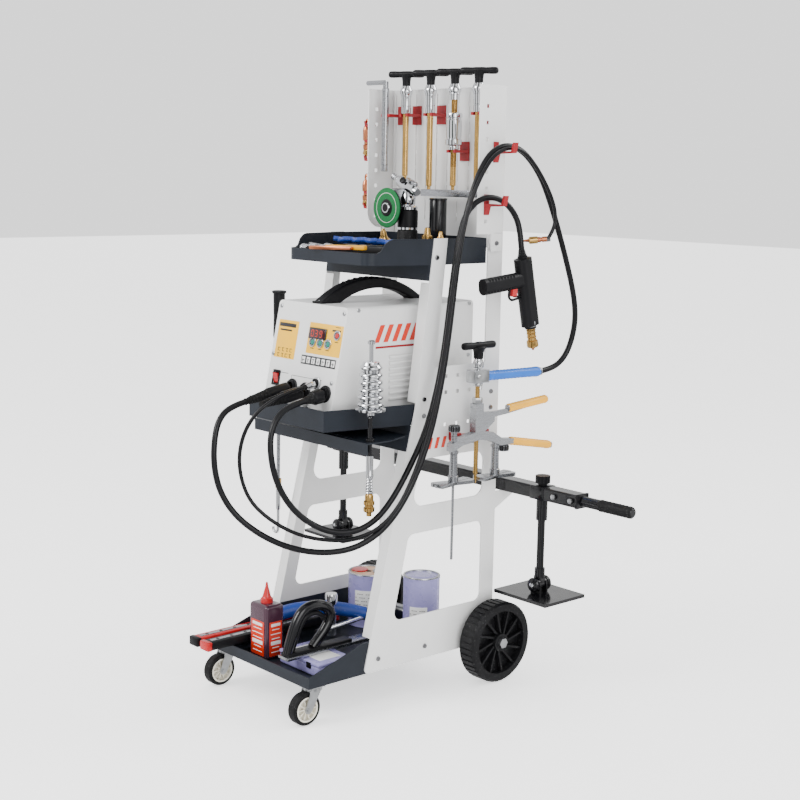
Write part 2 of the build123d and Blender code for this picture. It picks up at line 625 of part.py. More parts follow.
with BuildPart() as cooling_fan:
    with BuildSketch(Plane.XZ.offset(-CASE_REAR + CASE_SHEET + 16.4)):
        with Locations(FAN_AT):
            Circle(15)
            with PolarLocations(28, 7):
                Rectangle(32, 11)
            Circle(FAN_SHAFT_R + RUNNING, mode=Mode.SUBTRACT)
    extrude(amount=14)
write(cooling_fan, "cooling_fan")

# ---- red hooks: rod clips on the panel, cable hooks on the right wing, puller and clamp hooks ----
CLIP_Z = 1372.0
SLIDE_ROD, SLIDE_CLIP_Z = 2, 1284.0    # the pull rod with a slide weight, and its lower clip
PULL_R = 7.5
HOOK_UP = (93.0, 1288.0)     # y and height of the upper cable hook's arm
HOOK_LOW = (66.0, 1166.0)
BACK_Y = PANEL_REAR - SHEET - RIB
with BuildPart() as panel_hooks:
    for i, (x, _) in enumerate(PULL_RODS):
        clip = SLIDE_CLIP_Z if i == SLIDE_ROD else CLIP_Z
        with BuildSketch(Plane.XY.offset(clip)):
            with Locations((x, (BACK_Y + ROD_Y - 9) / 2)):
                Rectangle(31, BACK_Y - ROD_Y + 9)
            with Locations((x, ROD_Y)):
                Circle(PULL_R + 0.5, mode=Mode.SUBTRACT)
            with Locations((x, ROD_Y - 8)):
                Rectangle(2 * PULL_R + 0.8, 16, mode=Mode.SUBTRACT)
        extrude(amount=7)
        with BuildSketch(Plane.XZ.offset(-BACK_Y)):
            with Locations((x, clip + 4)):
                Rectangle(31, 46)
        extrude(amount=3)
    for y, z in (HOOK_UP, HOOK_LOW):
        with BuildSketch(Plane.XZ.offset(-y - 7)):
            Polygon(
                (PANEL_HALF, z - 26), (PANEL_HALF + 4, z - 26), (PANEL_HALF + 10, z - 6), (PANEL_HALF + 62, z - 4),
                (PANEL_HALF + 68, z + 20), (PANEL_HALF + 62, z + 20), (PANEL_HALF + 57, z), (PANEL_HALF + 4, z),
                (PANEL_HALF + 4, z + 22), (PANEL_HALF, z + 22), align=None,
            )
        extrude(amount=14)
    for y in (-22.0, 70.0):
        with BuildSketch(Plane.XZ.offset(-y - 6)):
            Polygon(
                (FRAME_HALF, 612), (FRAME_HALF + 4, 612), (FRAME_HALF + 8, 624), (PULLER_X - 11, 624),
                (PULLER_X - 11, 632), (FRAME_HALF + 4, 632), (FRAME_HALF + 4, 646), (FRAME_HALF, 646), align=None,
            )
        extrude(amount=12)
    for z in (1150.0, 1188.0, 1270.0, 1318.0, 1356.0):
        with BuildSketch(Plane.XZ.offset(-66)):
            Polygon(
                (-PANEL_HALF, z - 10), (-PANEL_HALF - 34, z - 8), (-PANEL_HALF - 38, z + 6),
                (-PANEL_HALF - 34, z + 6), (-PANEL_HALF - 31, z - 3), (-PANEL_HALF, z - 3), align=None,
            )
        extrude(amount=8)
write(panel_hooks, "panel_hooks")

# ---- gun ----
GRIP_Z, BARREL_R = 990.0, 19.0
BARREL_TOP, BARREL_LOW, NOZZLE_LOW = 1040.0, 876.0, 816.0
TRIGGER_Y, TRIGGER_W, TRIGGER_D = 114.0, 10.0, 16.0
TRIGGER_LOW, TRIGGER_TOP, TRIGGER_PULL = 950.0, 977.0, 6.0
GUN_LEAN = 12.0          # the barrel hangs with its nozzle a little to the rear
gun_axis = Plane(
    origin=(GUN_X, GUN_Y, GRIP_Z), x_dir=(1, 0, 0),
    z_dir=(0, -sin(radians(GUN_LEAN)), cos(radians(GUN_LEAN))),
)
with BuildPart() as gun_body:
    with BuildSketch(gun_axis.offset(BARREL_LOW - GRIP_Z)):
        SlotCenterToCenter(16, 2 * BARREL_R - 6, rotation=90)
    extrude(amount=BARREL_TOP - BARREL_LOW)
    with BuildSketch(Plane(origin=gun_axis.origin, x_dir=(1, 0, 0), z_dir=(0, -1, -0.1))):
        SlotCenterToCenter(12, 27, rotation=90)
    extrude(amount=142)
    with BuildSketch(Plane.XY.offset(TRIGGER_LOW)):
        with Locations((GUN_X, TRIGGER_Y)):
            Rectangle(TRIGGER_W + 0.8, TRIGGER_D + 0.8)
    extrude(amount=TRIGGER_TOP + TRIGGER_PULL + 1 - TRIGGER_LOW, mode=Mode.SUBTRACT)
    with BuildSketch(gun_axis.offset(BARREL_LOW - GRIP_Z)):
        Circle(10)
    extrude(amount=30, mode=Mode.SUBTRACT)
write(gun_body, "gun_body")

with BuildPart() as gun_trigger:
    with BuildSketch(Plane.XY.offset(TRIGGER_LOW)):
        with Locations((GUN_X, TRIGGER_Y)):
            Rectangle(TRIGGER_W, TRIGGER_D)
    extrude(amount=TRIGGER_TOP - TRIGGER_LOW)
    fillet(gun_trigger.edges().group_by(Axis.Z)[0], 3)
write(gun_trigger, "gun_trigger")

NOZZLE_STEPS = ((14.0, 8.0), (9.0, 16.0), (12.5, 20.0), (6.0, 12.0), (3.0, 6.0))   # radius and length, downwards
with BuildPart() as gun_nozzle:
    depth = BARREL_LOW - GRIP_Z
    for radius, length in NOZZLE_STEPS:
        with BuildSketch(gun_axis.offset(depth)):
            Circle(radius)
        extrude(amount=-length)
        depth -= length
    with BuildSketch(gun_axis.offset(BARREL_LOW - GRIP_Z)):
        Circle(8)
    extrude(amount=24)
write(gun_nozzle, "gun_nozzle")

# ---- cable plugs in the welder's front ----
PLUG_DROOP, PLUG_GAP = 10.0, 15.0    # degrees down, and from the face to the body
BOOTS = [(58.0, 62.0), (52.0, 60.0), (16.0, 14.0), (24.0, 22.0)]   # body and strain-relief length of each plug
PLUG_R = [15.0, 15.0, 7.5, 15.5]
CORD_R = [CABLE_D / 2, CABLE_D / 2, THIN_D / 2, CABLE_D / 2]


def plug_exit(i):
    """Where the cable leaves plug i, and the direction it takes."""
    x, z, _ = SOCKETS[i]
    out = Vector(0, -cos(radians(PLUG_DROOP)), -sin(radians(PLUG_DROOP)))
    base = Vector(x, case_front(z), z)
    return base + out * (PLUG_GAP + sum(BOOTS[i])), out, base


with BuildPart() as cable_plugs:
    for i, (body, boot) in enumerate(BOOTS):
        tip, out, base = plug_exit(i)
        plug_plane = Plane(origin=base, x_dir=(1, 0, 0), z_dir=out)
        with BuildSketch(plug_plane.offset(3)):
            Circle(PLUG_R[i] / 4)
        extrude(amount=PLUG_GAP - 3)
        with BuildSketch(plug_plane.offset(PLUG_GAP)):
            Circle(PLUG_R[i])
        extrude(amount=body)
        with BuildSketch(plug_plane.offset(PLUG_GAP + body)):
            Circle(PLUG_R[i] - 2)
        with BuildSketch(plug_plane.offset(PLUG_GAP + body + boot)):
            Circle(CORD_R[i] + 1.2)
        loft()
write(cable_plugs, "cable_plugs")

# ---- lever set on the brackets behind the posts ----
KNOB_R, KNOB_H = 18.0, 26.0
STUD_R = 6.0
beam_low = BEAM_Z - BEAM_H / 2
WALL = 4.0
with BuildPart() as lever_beam:
    with BuildSketch(Plane.YZ.offset(BEAM_LEFT)):
        with Locations((BEAM_Y, BEAM_Z)):
            RectangleRounded(BEAM_D, BEAM_H, 4)
            Rectangle(BEAM_D - 2 * WALL, BEAM_H - 2 * WALL, mode=Mode.SUBTRACT)
    extrude(amount=BEAM_RIGHT - BEAM_LEFT)
    with BuildSketch(Plane.XY.offset(beam_low)):
        for x in LEG_X.values():
            with Locations((x, BEAM_Y)):
                Circle(STUD_R + 0.1)
    extrude(amount=BEAM_H, mode=Mode.SUBTRACT)
    with BuildSketch(Plane.YZ.offset(BEAM_RIGHT - 100)):
        with Locations((BEAM_Y, BEAM_Z)):
            Circle(HANDLE_R)
    extrude(amount=HANDLE_END - BEAM_RIGHT + 100)
    chamfer(lever_beam.faces().sort_by(Axis.X)[-1].edges(), 4)
    for x in (BEAM_RIGHT - 72, BEAM_RIGHT - 18):
        with BuildSketch(Plane.XZ.offset(-BEAM_Y - BEAM_D / 2 - 3)):
            with Locations((x, BEAM_Z)):
                Circle(6.5)
        extrude(amount=BEAM_D + 6)
write(lever_beam, "lever_beam")

COLLAR_LOW, STEM_LOW = 412.0, 292.0
LUG_R, LUG_T, LUG_GAP, PIN_R = 15.0, 5.0, 9.0, 4.0
for side, x in LEG_X.items():
    with BuildPart() as lever_leg:
        for low, high, radius in (
            (COLLAR_LOW, beam_low - 0.3, 13.5), (STEM_LOW, COLLAR_LOW, 9.0), (EYE_Z + LUG_R + 1, STEM_LOW, 12.5),
            (beam_low - 0.3, BEAM_Z + BEAM_H / 2 + 10, STUD_R),
        ):
            with BuildSketch(Plane.XY.offset(low)):
                with Locations((x, BEAM_Y)):
                    Circle(radius)
            extrude(amount=high - low)
        with BuildSketch(Plane.XZ.offset(-BEAM_Y - LUG_GAP + 0.4)):
            with Locations((x, EYE_Z)):
                Circle(12)
            with Locations((x, EYE_Z + 10)):
                Rectangle(22, 20)
            with Locations((x, EYE_Z)):
                Circle(PIN_R + RUNNING, mode=Mode.SUBTRACT)
        extrude(amount=2 * LUG_GAP - 0.8)
    write(lever_leg, f"lever_leg_{side}")

    with BuildPart() as lever_foot:
        with BuildSketch(Plane.XY.offset(FOOT_Z)):
            with Locations((x, BEAM_Y)):
                Rectangle(FOOT_LONG, FOOT_WIDE)
        extrude(amount=FOOT_T)
        for y in (BEAM_Y + LUG_GAP + LUG_T, BEAM_Y - LUG_GAP):
            with BuildSketch(Plane.XZ.offset(-y)):
                with Locations((x, EYE_Z)):
                    Circle(LUG_R)
                with Locations((x, (EYE_Z + FOOT_Z + FOOT_T) / 2)):
                    Rectangle(2 * LUG_R, EYE_Z - FOOT_Z - FOOT_T)
            extrude(amount=LUG_T)
        with BuildSketch(Plane.XZ.offset(-BEAM_Y - LUG_GAP - LUG_T - 5)):
            with Locations((x, EYE_Z)):
                Circle(PIN_R)
        extrude(amount=2 * (LUG_GAP + LUG_T + 5))
    write(lever_foot, f"lever_foot_{side}")

    with BuildPart() as lever_knob:
        with BuildSketch(Plane.XY.offset(BEAM_Z + BEAM_H / 2 + 0.3)):
            with Locations((x, BEAM_Y)):
                Circle(11)
        extrude(amount=6)
        with BuildSketch(Plane.XY.offset(BEAM_Z + BEAM_H / 2 + 6.3)):
            with Locations((x, BEAM_Y)):
                Circle(KNOB_R)
                with PolarLocations(KNOB_R, 14):
                    Circle(1.8, mode=Mode.SUBTRACT)
        extrude(amount=KNOB_H - 8)
        with BuildSketch(Plane.XY.offset(BEAM_Z + BEAM_H / 2 + 0.3)):
            with Locations((x, BEAM_Y)):
                Circle(STUD_R + RUNNING)
        extrude(amount=10.2, mode=Mode.SUBTRACT)
    write(lever_knob, f"lever_knob_{side}")

# ---- slide hammer and hook puller in the rack ----
hx, hy = HAMMER
ROD_R, STOP_LOW, WEIGHT_LOW, WEIGHT_TOP, ROD_TOP = 5.0, 696.0, 706.0, 818.0, 866.0
with BuildPart() as hammer_rod:
    for low, high, radius in (
        (516, ROD_TOP, ROD_R), (RACK_Z, RACK_Z + 8, 10), (STOP_LOW, WEIGHT_LOW - 0.3, 11),
        (ROD_TOP - 10, ROD_TOP, 9), (556, 604, 9), (500, 516, 10), (474, 500, 13), (464, 474, 6),
    ):
        with BuildSketch(Plane.XY.offset(low)):
            with Locations((hx, hy)):
                Circle(radius)
        extrude(amount=high - low)
    for i in range(5):
        with BuildSketch(Plane.XY.offset(518 + 7 * i)):
            with Locations((hx, hy)):
                Circle(9 - 0.4 * i)
        extrude(amount=3.5)
write(hammer_rod, "hammer_rod")

RINGS = 6
with BuildPart() as hammer_weight:
    with BuildSketch(Plane.XY.offset(WEIGHT_LOW)):
        with Locations((hx, hy)):
            Circle(35)
    extrude(amount=6)
    with BuildSketch(Plane.XY.offset(WEIGHT_LOW)):
        with Locations((hx, hy)):
            Circle(22)
    extrude(amount=WEIGHT_TOP - WEIGHT_LOW)
    ring_pitch = (WEIGHT_TOP - WEIGHT_LOW - 12) / RINGS
    for i in range(RINGS):
        with BuildSketch(Plane.XY.offset(WEIGHT_LOW + 9 + ring_pitch * i)):
            with Locations((hx, hy)):
                Circle(31 - i)
        extrude(amount=ring_pitch - 5)
    with BuildSketch(Plane.XY.offset(WEIGHT_LOW)):
        with Locations((hx, hy)):
            Circle(ROD_R + RUNNING)
    extrude(amount=WEIGHT_TOP - WEIGHT_LOW, mode=Mode.SUBTRACT)
write(hammer_weight, "hammer_weight")

px, py = HOOK_PULLER
with BuildPart() as hook_puller:
    for low, high, radius in (
        (480, 812, 4.5), (RACK_Z, RACK_Z + 8, 10), (808, 830, 11), (828, 940, 14.5), (940, 946, 18),
        (455, 480, 8), (400, 455, 5.5), (350, 400, 3.5),
    ):
        with BuildSketch(Plane.XY.offset(low)):
            with Locations((px, py)):
                Circle(radius)
        extrude(amount=high - low)
    with BuildSketch(Plane.XZ.offset(-py - 3.5)):
        with Locations((px - 10, 350)):
            Circle(13.5)
            Circle(6.5, mode=Mode.SUBTRACT)
            with Locations((0, 10)):
                Rectangle(30, 20, mode=Mode.SUBTRACT)
    extrude(amount=7)
write(hook_puller, "hook_puller")

# ---- T-handled pull rods in the panel's clips ----
T_Z, T_LONG = 1474.0, 94.0
SLIDE_LOW, SLIDE_TOP, SLIDE_TUBE = SLIDE_CLIP_Z + 17.0, SLIDE_CLIP_Z + 95.0, SLIDE_CLIP_Z + 125.0
with BuildPart() as pull_rods:
    for i, (x, low) in enumerate(PULL_RODS):
        tube_low = SLIDE_TUBE if i == SLIDE_ROD else CLIP_Z + 7
        for z0, z1, radius in (
            (low, T_Z, PULL_R), (tube_low, CLIP_Z + 56, 12), (CLIP_Z + 56, CLIP_Z + 72, 15.5), (low - 10, low, 4.5),
            (CLIP_Z + 72, T_Z, 10),
        ):
            with BuildSketch(Plane.XY.offset(z0)):
                with Locations((x, ROD_Y)):
                    Circle(radius)
            extrude(amount=z1 - z0)
        with BuildSketch(Plane.XY.offset(T_Z - 9)):
            with Locations(Location((x, ROD_Y, 0), 28)):
                SlotOverall(T_LONG, 17)
        extrude(amount=18)
    with BuildSketch(Plane.XY.offset(SLIDE_CLIP_Z + 7)):
        with Locations((PULL_RODS[SLIDE_ROD][0], ROD_Y)):
            Circle(12)
    extrude(amount=SLIDE_LOW - 0.3 - SLIDE_CLIP_Z - 7)
    sx, sy = SLIM_TOOL
    with BuildSketch(Plane.XY.offset(1236)):
        with Locations((sx, sy)):
            Circle(9)
    extrude(amount=224)
    with BuildSketch(Plane.YZ.offset(sx - 70)):
        with Locations((sy, 1456)):
            Circle(6)
    extrude(amount=72)
write(pull_rods, "pull_rods")

with BuildPart() as pull_weight:
    with BuildSketch(Plane.XY.offset(SLIDE_LOW)):
        with Locations((PULL_RODS[SLIDE_ROD][0], ROD_Y)):
            Circle(20)
            Circle(PULL_R + RUNNING, mode=Mode.SUBTRACT)
    extrude(amount=SLIDE_TOP - SLIDE_LOW)
    chamfer(pull_weight.edges().filter_by(GeomType.CIRCLE).filter_by(lambda e: e.radius > 10), 3)
write(pull_weight, "pull_weight")

# ---- two-legged puller on the right side: bridge, lever, screw and the ground clamp on the screw ----
BRIDGE_Z, BRIDGE_H, BRIDGE_T = 600.0, 20.0, 20.0
POSTS_Y = (-50.0, 88.0)
POST_LOW, SOLE_Z, SOLE_T = 526.0, 514.0, 8.0
LEVER_PIVOT = (62.0, 668.0)
SCREW_R = 6.0
GUIDE_TOP, GUIDE_ROD_LOW = 700.0, 334.0
puller_face = Plane.YZ.offset(PULLER_X - BRIDGE_T / 2)
with BuildPart() as puller_bridge:
    with BuildSketch(puller_face):
        Polygon(
            (-64, BRIDGE_Z + 12), (-30, BRIDGE_Z + 26), (24, BRIDGE_Z + 34), (70, BRIDGE_Z + 28), (104, BRIDGE_Z + 8),
            (142, BRIDGE_Z + 4), (142, BRIDGE_Z - 8), (98, BRIDGE_Z - 8), (60, BRIDGE_Z + 8), (24, BRIDGE_Z + 14),
            (-30, BRIDGE_Z + 6), (-64, BRIDGE_Z - 6), align=None,
        )
        Polygon((10, BRIDGE_Z + 20), (36, BRIDGE_Z + 20), (36, GUIDE_TOP), (10, GUIDE_TOP), align=None)
        Polygon(
            (30, BRIDGE_Z + 24), (LEVER_PIVOT[0] + 12, LEVER_PIVOT[1] - 14), (LEVER_PIVOT[0] + 10, LEVER_PIVOT[1] + 6),
            (30, GUIDE_TOP - 20), align=None,
        )
    extrude(amount=BRIDGE_T)
    with BuildSketch(Plane.XY.offset(POST_LOW)):
        with Locations(*[(PULLER_X, y) for y in POSTS_Y]):
            Circle(8.5)
    extrude(amount=BRIDGE_Z + 4 - POST_LOW)
    for y, top in ((POSTS_Y[0], 640.0), (POSTS_Y[1], 576.0)):
        with BuildSketch(Plane.XY.offset(top)):
            with Locations((PULLER_X, y + (0 if y < 0 else 28))):
                Circle(13)
        extrude(amount=14)
    with BuildSketch(Plane.XY.offset(BRIDGE_Z - 2)):
        with Locations((PULLER_X, POSTS_Y[0])):
            Circle(7)
    extrude(amount=44)
    with BuildSketch(Plane.XY.offset(580)):
        with Locations((PULLER_X, POSTS_Y[1] + 28)):
            Circle(6)
    extrude(amount=20)
    with BuildSketch(Plane.XY.offset(BRIDGE_Z - 20)):
        with Locations((PULLER_X, SCREW_Y)):
            Circle(SCREW_R + RUNNING)
    extrude(amount=140, mode=Mode.SUBTRACT)
    with BuildSketch(Plane.YZ.offset(PULLER_X - 4.3)):
        with Locations((LEVER_PIVOT[0] + 6, LEVER_PIVOT[1])):
            Rectangle(46, 38)
    extrude(amount=8.6, mode=Mode.SUBTRACT)
    with BuildSketch(puller_face):
        with Locations(LEVER_PIVOT):
            Circle(3)
    extrude(amount=BRIDGE_T)
    for y in POSTS_Y:
        with BuildSketch(Plane.XY.offset(SOLE_Z)):
            with Locations((PULLER_X, y)):
                SlotOverall(118, 24, rotation=78)
        extrude(amount=SOLE_T)
        with BuildSketch(Plane.XY.offset(SOLE_Z)):
            with Locations((PULLER_X, y)):
                Circle(11)
        extrude(amount=POST_LOW - SOLE_Z)
    with BuildSketch(Plane.XY.offset(SOLE_Z)):
        with Locations((PULLER_X, POSTS_Y[0])):
            Circle(3)
    extrude(amount=GUIDE_ROD_LOW - SOLE_Z)
    with BuildSketch(Plane(origin=(PULLER_X, 136, 598), x_dir=(1, 0, 0), z_dir=(0, 1, -0.18))):
        RectangleRounded(16, 15, 5)
    extrude(amount=148)
write(puller_bridge, "puller_bridge")

with BuildPart() as puller_lever:
    with BuildSketch(Plane.YZ.offset(PULLER_X - 4)):
        Polygon(
            (LEVER_PIVOT[0] - 8, LEVER_PIVOT[1] - 7), (LEVER_PIVOT[0] + 60, LEVER_PIVOT[1] - 2),
            (262, 684), (262, 694), (LEVER_PIVOT[0] + 60, LEVER_PIVOT[1] + 10), (LEVER_PIVOT[0] - 8, LEVER_PIVOT[1] + 7),
            align=None,
        )
        with Locations(LEVER_PIVOT):
            Circle(9)
            Circle(3 + RUNNING, mode=Mode.SUBTRACT)
    extrude(amount=8)
    with BuildSketch(Plane(origin=(PULLER_X, 126, 679), x_dir=(1, 0, 0), z_dir=(0, 1, 0.08))):
        RectangleRounded(16, 15, 5)
    extrude(amount=136)
write(puller_lever, "puller_lever")

SCREW_TOP = 838.0
with BuildPart() as puller_screw:
    for low, high, radius in (
        (532, SCREW_TOP, SCREW_R), (516, 532, 4), (508, 516, 2.5), (GUIDE_TOP + 0.3, GUIDE_TOP + 14, 12),
        (742, 750, 12), (786, 800, 13), (800, 824, 9),
    ):
        with BuildSketch(Plane.XY.offset(low)):
            with Locations((PULLER_X, SCREW_Y)):
                Circle(radius)
        extrude(amount=high - low)
    with BuildSketch(Plane.XY.offset(SCREW_TOP - 9)):
        with Locations((PULLER_X, SCREW_Y)):
            SlotOverall(104, 18, rotation=90)
    extrude(amount=18)
write(puller_screw, "puller_screw")

with BuildPart() as ground_clamp:
    with BuildSketch(Plane.XY.offset(750.3)):
        with Locations((PULLER_X, SCREW_Y)):
            Rectangle(30, 46)
            Circle(SCREW_R + RUNNING, mode=Mode.SUBTRACT)
    extrude(amount=30)
    with BuildSketch(Plane(origin=(PULLER_X, SCREW_Y + 23, 764), x_dir=(1, 0, 0), z_dir=(0, 1, -0.02))):
        RectangleRounded(20, 18, 6)
    extrude(amount=190)
write(ground_clamp, "ground_clamp")

# ---- air sander on the top tray, and the tools kept in the trays ----
SANDER = (0.0, 0.0)
DISC_R, DISC_Z = 48.0, 1150.0
disc_plane = Plane(origin=(-33, -36, DISC_Z), x_dir=(1, 0, 0), z_dir=(0, -1, 0))
HEAD_Z = 1192.0
with BuildPart() as sander_body:
    for low, high, radius in ((TOP_Z + SHEET, 1152, 25), (1152, HEAD_Z, 17)):
        with BuildSketch(Plane.XY.offset(low)):
            with Locations(SANDER):
                Circle(radius)
        extrude(amount=high - low)
    head_plane = Plane(origin=(-96, 36, HEAD_Z + 34), x_dir=(0, 0, 1), z_dir=(0.92, -0.30, -0.25))
    with BuildSketch(head_plane):
        Circle(9)
    extrude(amount=60)
    with BuildSketch(head_plane.offset(40)):
        Circle(15)
    extrude(amount=112)
    with BuildSketch(disc_plane.offset(-34)):
        Circle(14)
    extrude(amount=33.6)
    with BuildSketch(Plane.XY.offset(DISC_Z)):
        with Locations((-20, -12)):
            SlotCenterToCenter(28, 20, rotation=40)
    extrude(amount=HEAD_Z - DISC_Z + 8)
write(sander_body, "sander_body")

with BuildPart() as sanding_disc:
    with BuildSketch(disc_plane):
        Circle(DISC_R)
    extrude(amount=5)
    with BuildSketch(disc_plane):
        Circle(10)
    extrude(amount=9)
write(sanding_disc, "sanding_disc")

# ---- loose tools: pulling rails, body file and cans in the base tray, small tools in the top tray ----
RAIL_LONG = 400.0
with BuildPart() as tray_tools:
    for x, tilt in ((-163.0, 0.0), (-118.0, 0.0)):
        with BuildSketch(Plane.XZ.offset(-RAILS_FRONT - RAIL_LONG)):
            with Locations((x, DECK_Z + LIP + 11)):
                Rectangle(34, 22)
        extrude(amount=RAIL_LONG)
    with BuildSketch(Plane.XY.offset(DECK_Z + SHEET)):
        with Locations((-55, -378)):
            RectangleRounded(72, 54, 8)
    extrude(amount=132)
    with BuildSketch(Plane.XY.offset(DECK_Z + SHEET + 132)):
        with Locations((-55, -378)):
            Circle(13)
    extrude(amount=50)
    with BuildSketch(Plane.XY.offset(DECK_Z + SHEET)):
        with Locations((78, -335)):
            Rectangle(150, 100)
    extrude(amount=34)
    with BuildSketch(Plane.XY.offset(DECK_Z + SHEET)):
        with Locations((88, -180)):
            Rectangle(60, 190)
    extrude(amount=40)
    for x, y, radius, height in ((-98, -24, 52, 136), (70, 6, 46, 158)):
        with BuildSketch(Plane.XY.offset(DECK_Z + SHEET)):
            with Locations((x, y)):
                Circle(radius)
        extrude(amount=height)
write(tray_tools, "tray_tools")

# ---- cables: straight runs joined by tangent arcs ----
def cable(label, points, diameter):
    """Write one cable along points and print its length and tightest arc."""
    points = [Vector(*point) for point in points]
    runs = [(b - a).length for a, b in zip(points, points[1:])]
    radii = []
    for i, middle in enumerate(points[1:-1]):
        turn = (middle - points[i]).get_angle(points[i + 2] - middle)
        radii.append(0.45 * min(runs[i], runs[i + 1]) / tan(radians(turn / 2)))
    with BuildPart() as tube:
        with BuildLine() as route:
            FilletPolyline(*points, radius=radii)
        with BuildSketch(Plane(origin=points[0], z_dir=points[1] - points[0])):
            Circle(diameter / 2)
        sweep()
    length = sum(edge.length for edge in route.edges())
    ratio = tube.part.volume / (pi * diameter ** 2 / 4 * length)
    print(label, "length", round(length), "tightest arc", round(min(radii)), "volume ratio", round(ratio, 4))
    print("   runs", [round(run) for run in runs])
    print("   radii", [round(radius) for radius in radii])
    write(tube, label)


def from_plug(i, run):
    """First two points of the cable in plug i: its tip, and the end of a straight run out of it."""
    tip, out, _ = plug_exit(i)
    return [tuple(tip), tuple(tip + out * run)]


GUN_END = gun_axis.from_local_coords((0, 0, BARREL_TOP - GRIP_Z))
CLAMP_END = (PULLER_X, SCREW_Y + 23 + 192, 764 - 190 * 0.02)

cable("gun_cable", from_plug(3, 42) + [
    (97, -464, 698), (103, -487, 662), (111, -492, 612), (118, -482, 558), (130, -458, 506),
    (150, -422, 464), (178, -372, 436), (199, -316, 434), (209, -262, 458), (210, -212, 506),
    (210, -164, 572), (210, -120, 646), (210, -88, 736), (210, -68, 828), (210, -55, 920),
    (210, -44, 1004), (211, -32, 1074), (213, -18, 1131), (216, 4, 1163), (220, 38, 1181),
    (225, 76, 1181), (231, 110, 1164), (239, 132, 1133), (246, 137, 1098),
    tuple(GUN_END + gun_axis.z_dir * 30), tuple(GUN_END),
], CABLE_D)
cable("ground_cable", from_plug(0, 44) + [
    (-24, -538, 680), (-14, -556, 632), (-8, -560, 576), (2, -550, 520), (24, -526, 470),
    (60, -490, 430), (108, -448, 402), (160, -400, 390), (204, -342, 396), (221, -282, 420),
    (227, -230, 460), (228, -184, 516), (228, -146, 584), (228, -116, 660), (228, -93, 748),
    (228, -76, 838), (228, -63, 928), (228, -52, 1014), (228, -38, 1096), (228, -15, 1174),
    (229, 15, 1244), (231, 49, 1287), (233, 93, 1303), (235, 139, 1295), (237, 178, 1267),
    (240, 214, 1224), (242, 246, 1164), (244, 276, 1096), (246, 306, 1022), (248, 332, 948),
    (247, 344, 888), (242, 340, 836), (237, 322, 791), (233, 284, 763.5),
    CLAMP_END,
], CABLE_D)
cable("aux_cable", from_plug(2, 40) + [
    (58, -448, 728), (46, -484, 702), (32, -506, 660), (22, -514, 608), (20, -508, 554),
    (32, -492, 500), (60, -462, 460), (102, -422, 428), (146, -378, 414), (192, -328, 414),
    (226, -274, 438), (240, -226, 486), (243, -184, 556), (243, -150, 634), (243, -124, 712),
    (243, -104, 796), (243, -90, 882), (243, -77, 970), (243, -62, 1058), (243, -42, 1138),
    (244, -14, 1200), (246, 16, 1250), (248, 47, 1283), (250, 90, 1298), (252, 133, 1290),
    (254, 168, 1263), (256, 202, 1224), (258, 230, 1182), (260, 244, 1142), (259, 240, 1106),
    (257, 220, 1082),
], THIN_D)
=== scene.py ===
import math

import bmesh
import bpy
from mathutils import Euler, Matrix, Vector


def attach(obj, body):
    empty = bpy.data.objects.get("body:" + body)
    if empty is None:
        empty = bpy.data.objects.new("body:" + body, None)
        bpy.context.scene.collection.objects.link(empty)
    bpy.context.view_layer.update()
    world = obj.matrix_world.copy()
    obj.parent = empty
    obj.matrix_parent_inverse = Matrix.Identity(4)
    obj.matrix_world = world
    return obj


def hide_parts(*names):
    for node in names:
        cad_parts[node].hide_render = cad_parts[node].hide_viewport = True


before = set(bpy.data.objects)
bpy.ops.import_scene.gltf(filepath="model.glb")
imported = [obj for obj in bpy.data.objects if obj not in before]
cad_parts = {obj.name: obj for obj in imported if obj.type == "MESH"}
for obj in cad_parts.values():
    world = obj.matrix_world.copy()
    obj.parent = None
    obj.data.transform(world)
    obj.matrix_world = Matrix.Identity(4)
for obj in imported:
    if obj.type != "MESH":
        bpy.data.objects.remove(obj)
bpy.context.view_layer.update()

# Pieces are written in trolley coordinates: millimetres, x = 0 at the trolley's middle, front towards -Y.
SHIFT = Vector((-33.5, 116.0, 0.0))
CASE_LEAN = 52 / 257     # the welder's front leans back by this much per unit of height
FRONT_Y, CASE_LOW = -340, 675    # the lower edge of the welder's front
FRONT_TURN = (-math.degrees(math.atan(CASE_LEAN)), 0, 0)
CASE_SIDE, CASE_FILM = 127, 127.1    # the welder's middle to its side, and to the film on it
FRAME_SIDE = 190.2       # the trolley's middle to the film on a side frame
SWITCH = (-92, 752)      # x and height of the power switch on the welder's front
ON_SIDE = ((0, 1, 0), (0, 0, 1))     # directions of a film on a right-hand side: rearward, then up
GUN_LEAN = math.radians(12)
GUN_GRIP = Vector((252, 152, 990))   # where the gun's grip meets its barrel
GUN_MOUTH = 114          # from there to the nozzle's collar, along the barrel
ROD_Y, SLIDE_ROD_X = 82, 69      # the pull rods, and the one with a slide weight
T_HANDLE_Z = 1474.5
SLIM_TOOL = (-160, 62)   # x and y of the slim tool beside the pull rods
HAMMER = (196, -278)     # x and y of the slide hammer
HOOK_PULLER = (-198, -238)
PULLER_X = 232           # the two-legged puller on the right upright
SCREW = (PULLER_X, 23)
PULLER_LEGS = (-50, 88)  # y of the puller's two legs
LEVER_Y, LEVER_Z = 172, 481
FOOT_Z = 252             # tilt pin of a lever foot
TOP_FLOOR, BASE_FLOOR = 1029, 90     # tray floors that things stand on
AXLE = (108, 100)        # y and height of the rear axle


def at(point):
    """A trolley point in the row frame, in metres."""
    return (Vector(point) + SHIFT) / 1000


def front(x, z, out=0.0):
    """A point out millimetres in front of the welder's leaning front."""
    lean = math.atan(CASE_LEAN)
    return Vector((x, FRONT_Y + CASE_LEAN * (z - CASE_LOW) - out * math.cos(lean), z + out * math.sin(lean)))


out_of_front = front(0, 0, 1) - front(0, 0, 0)


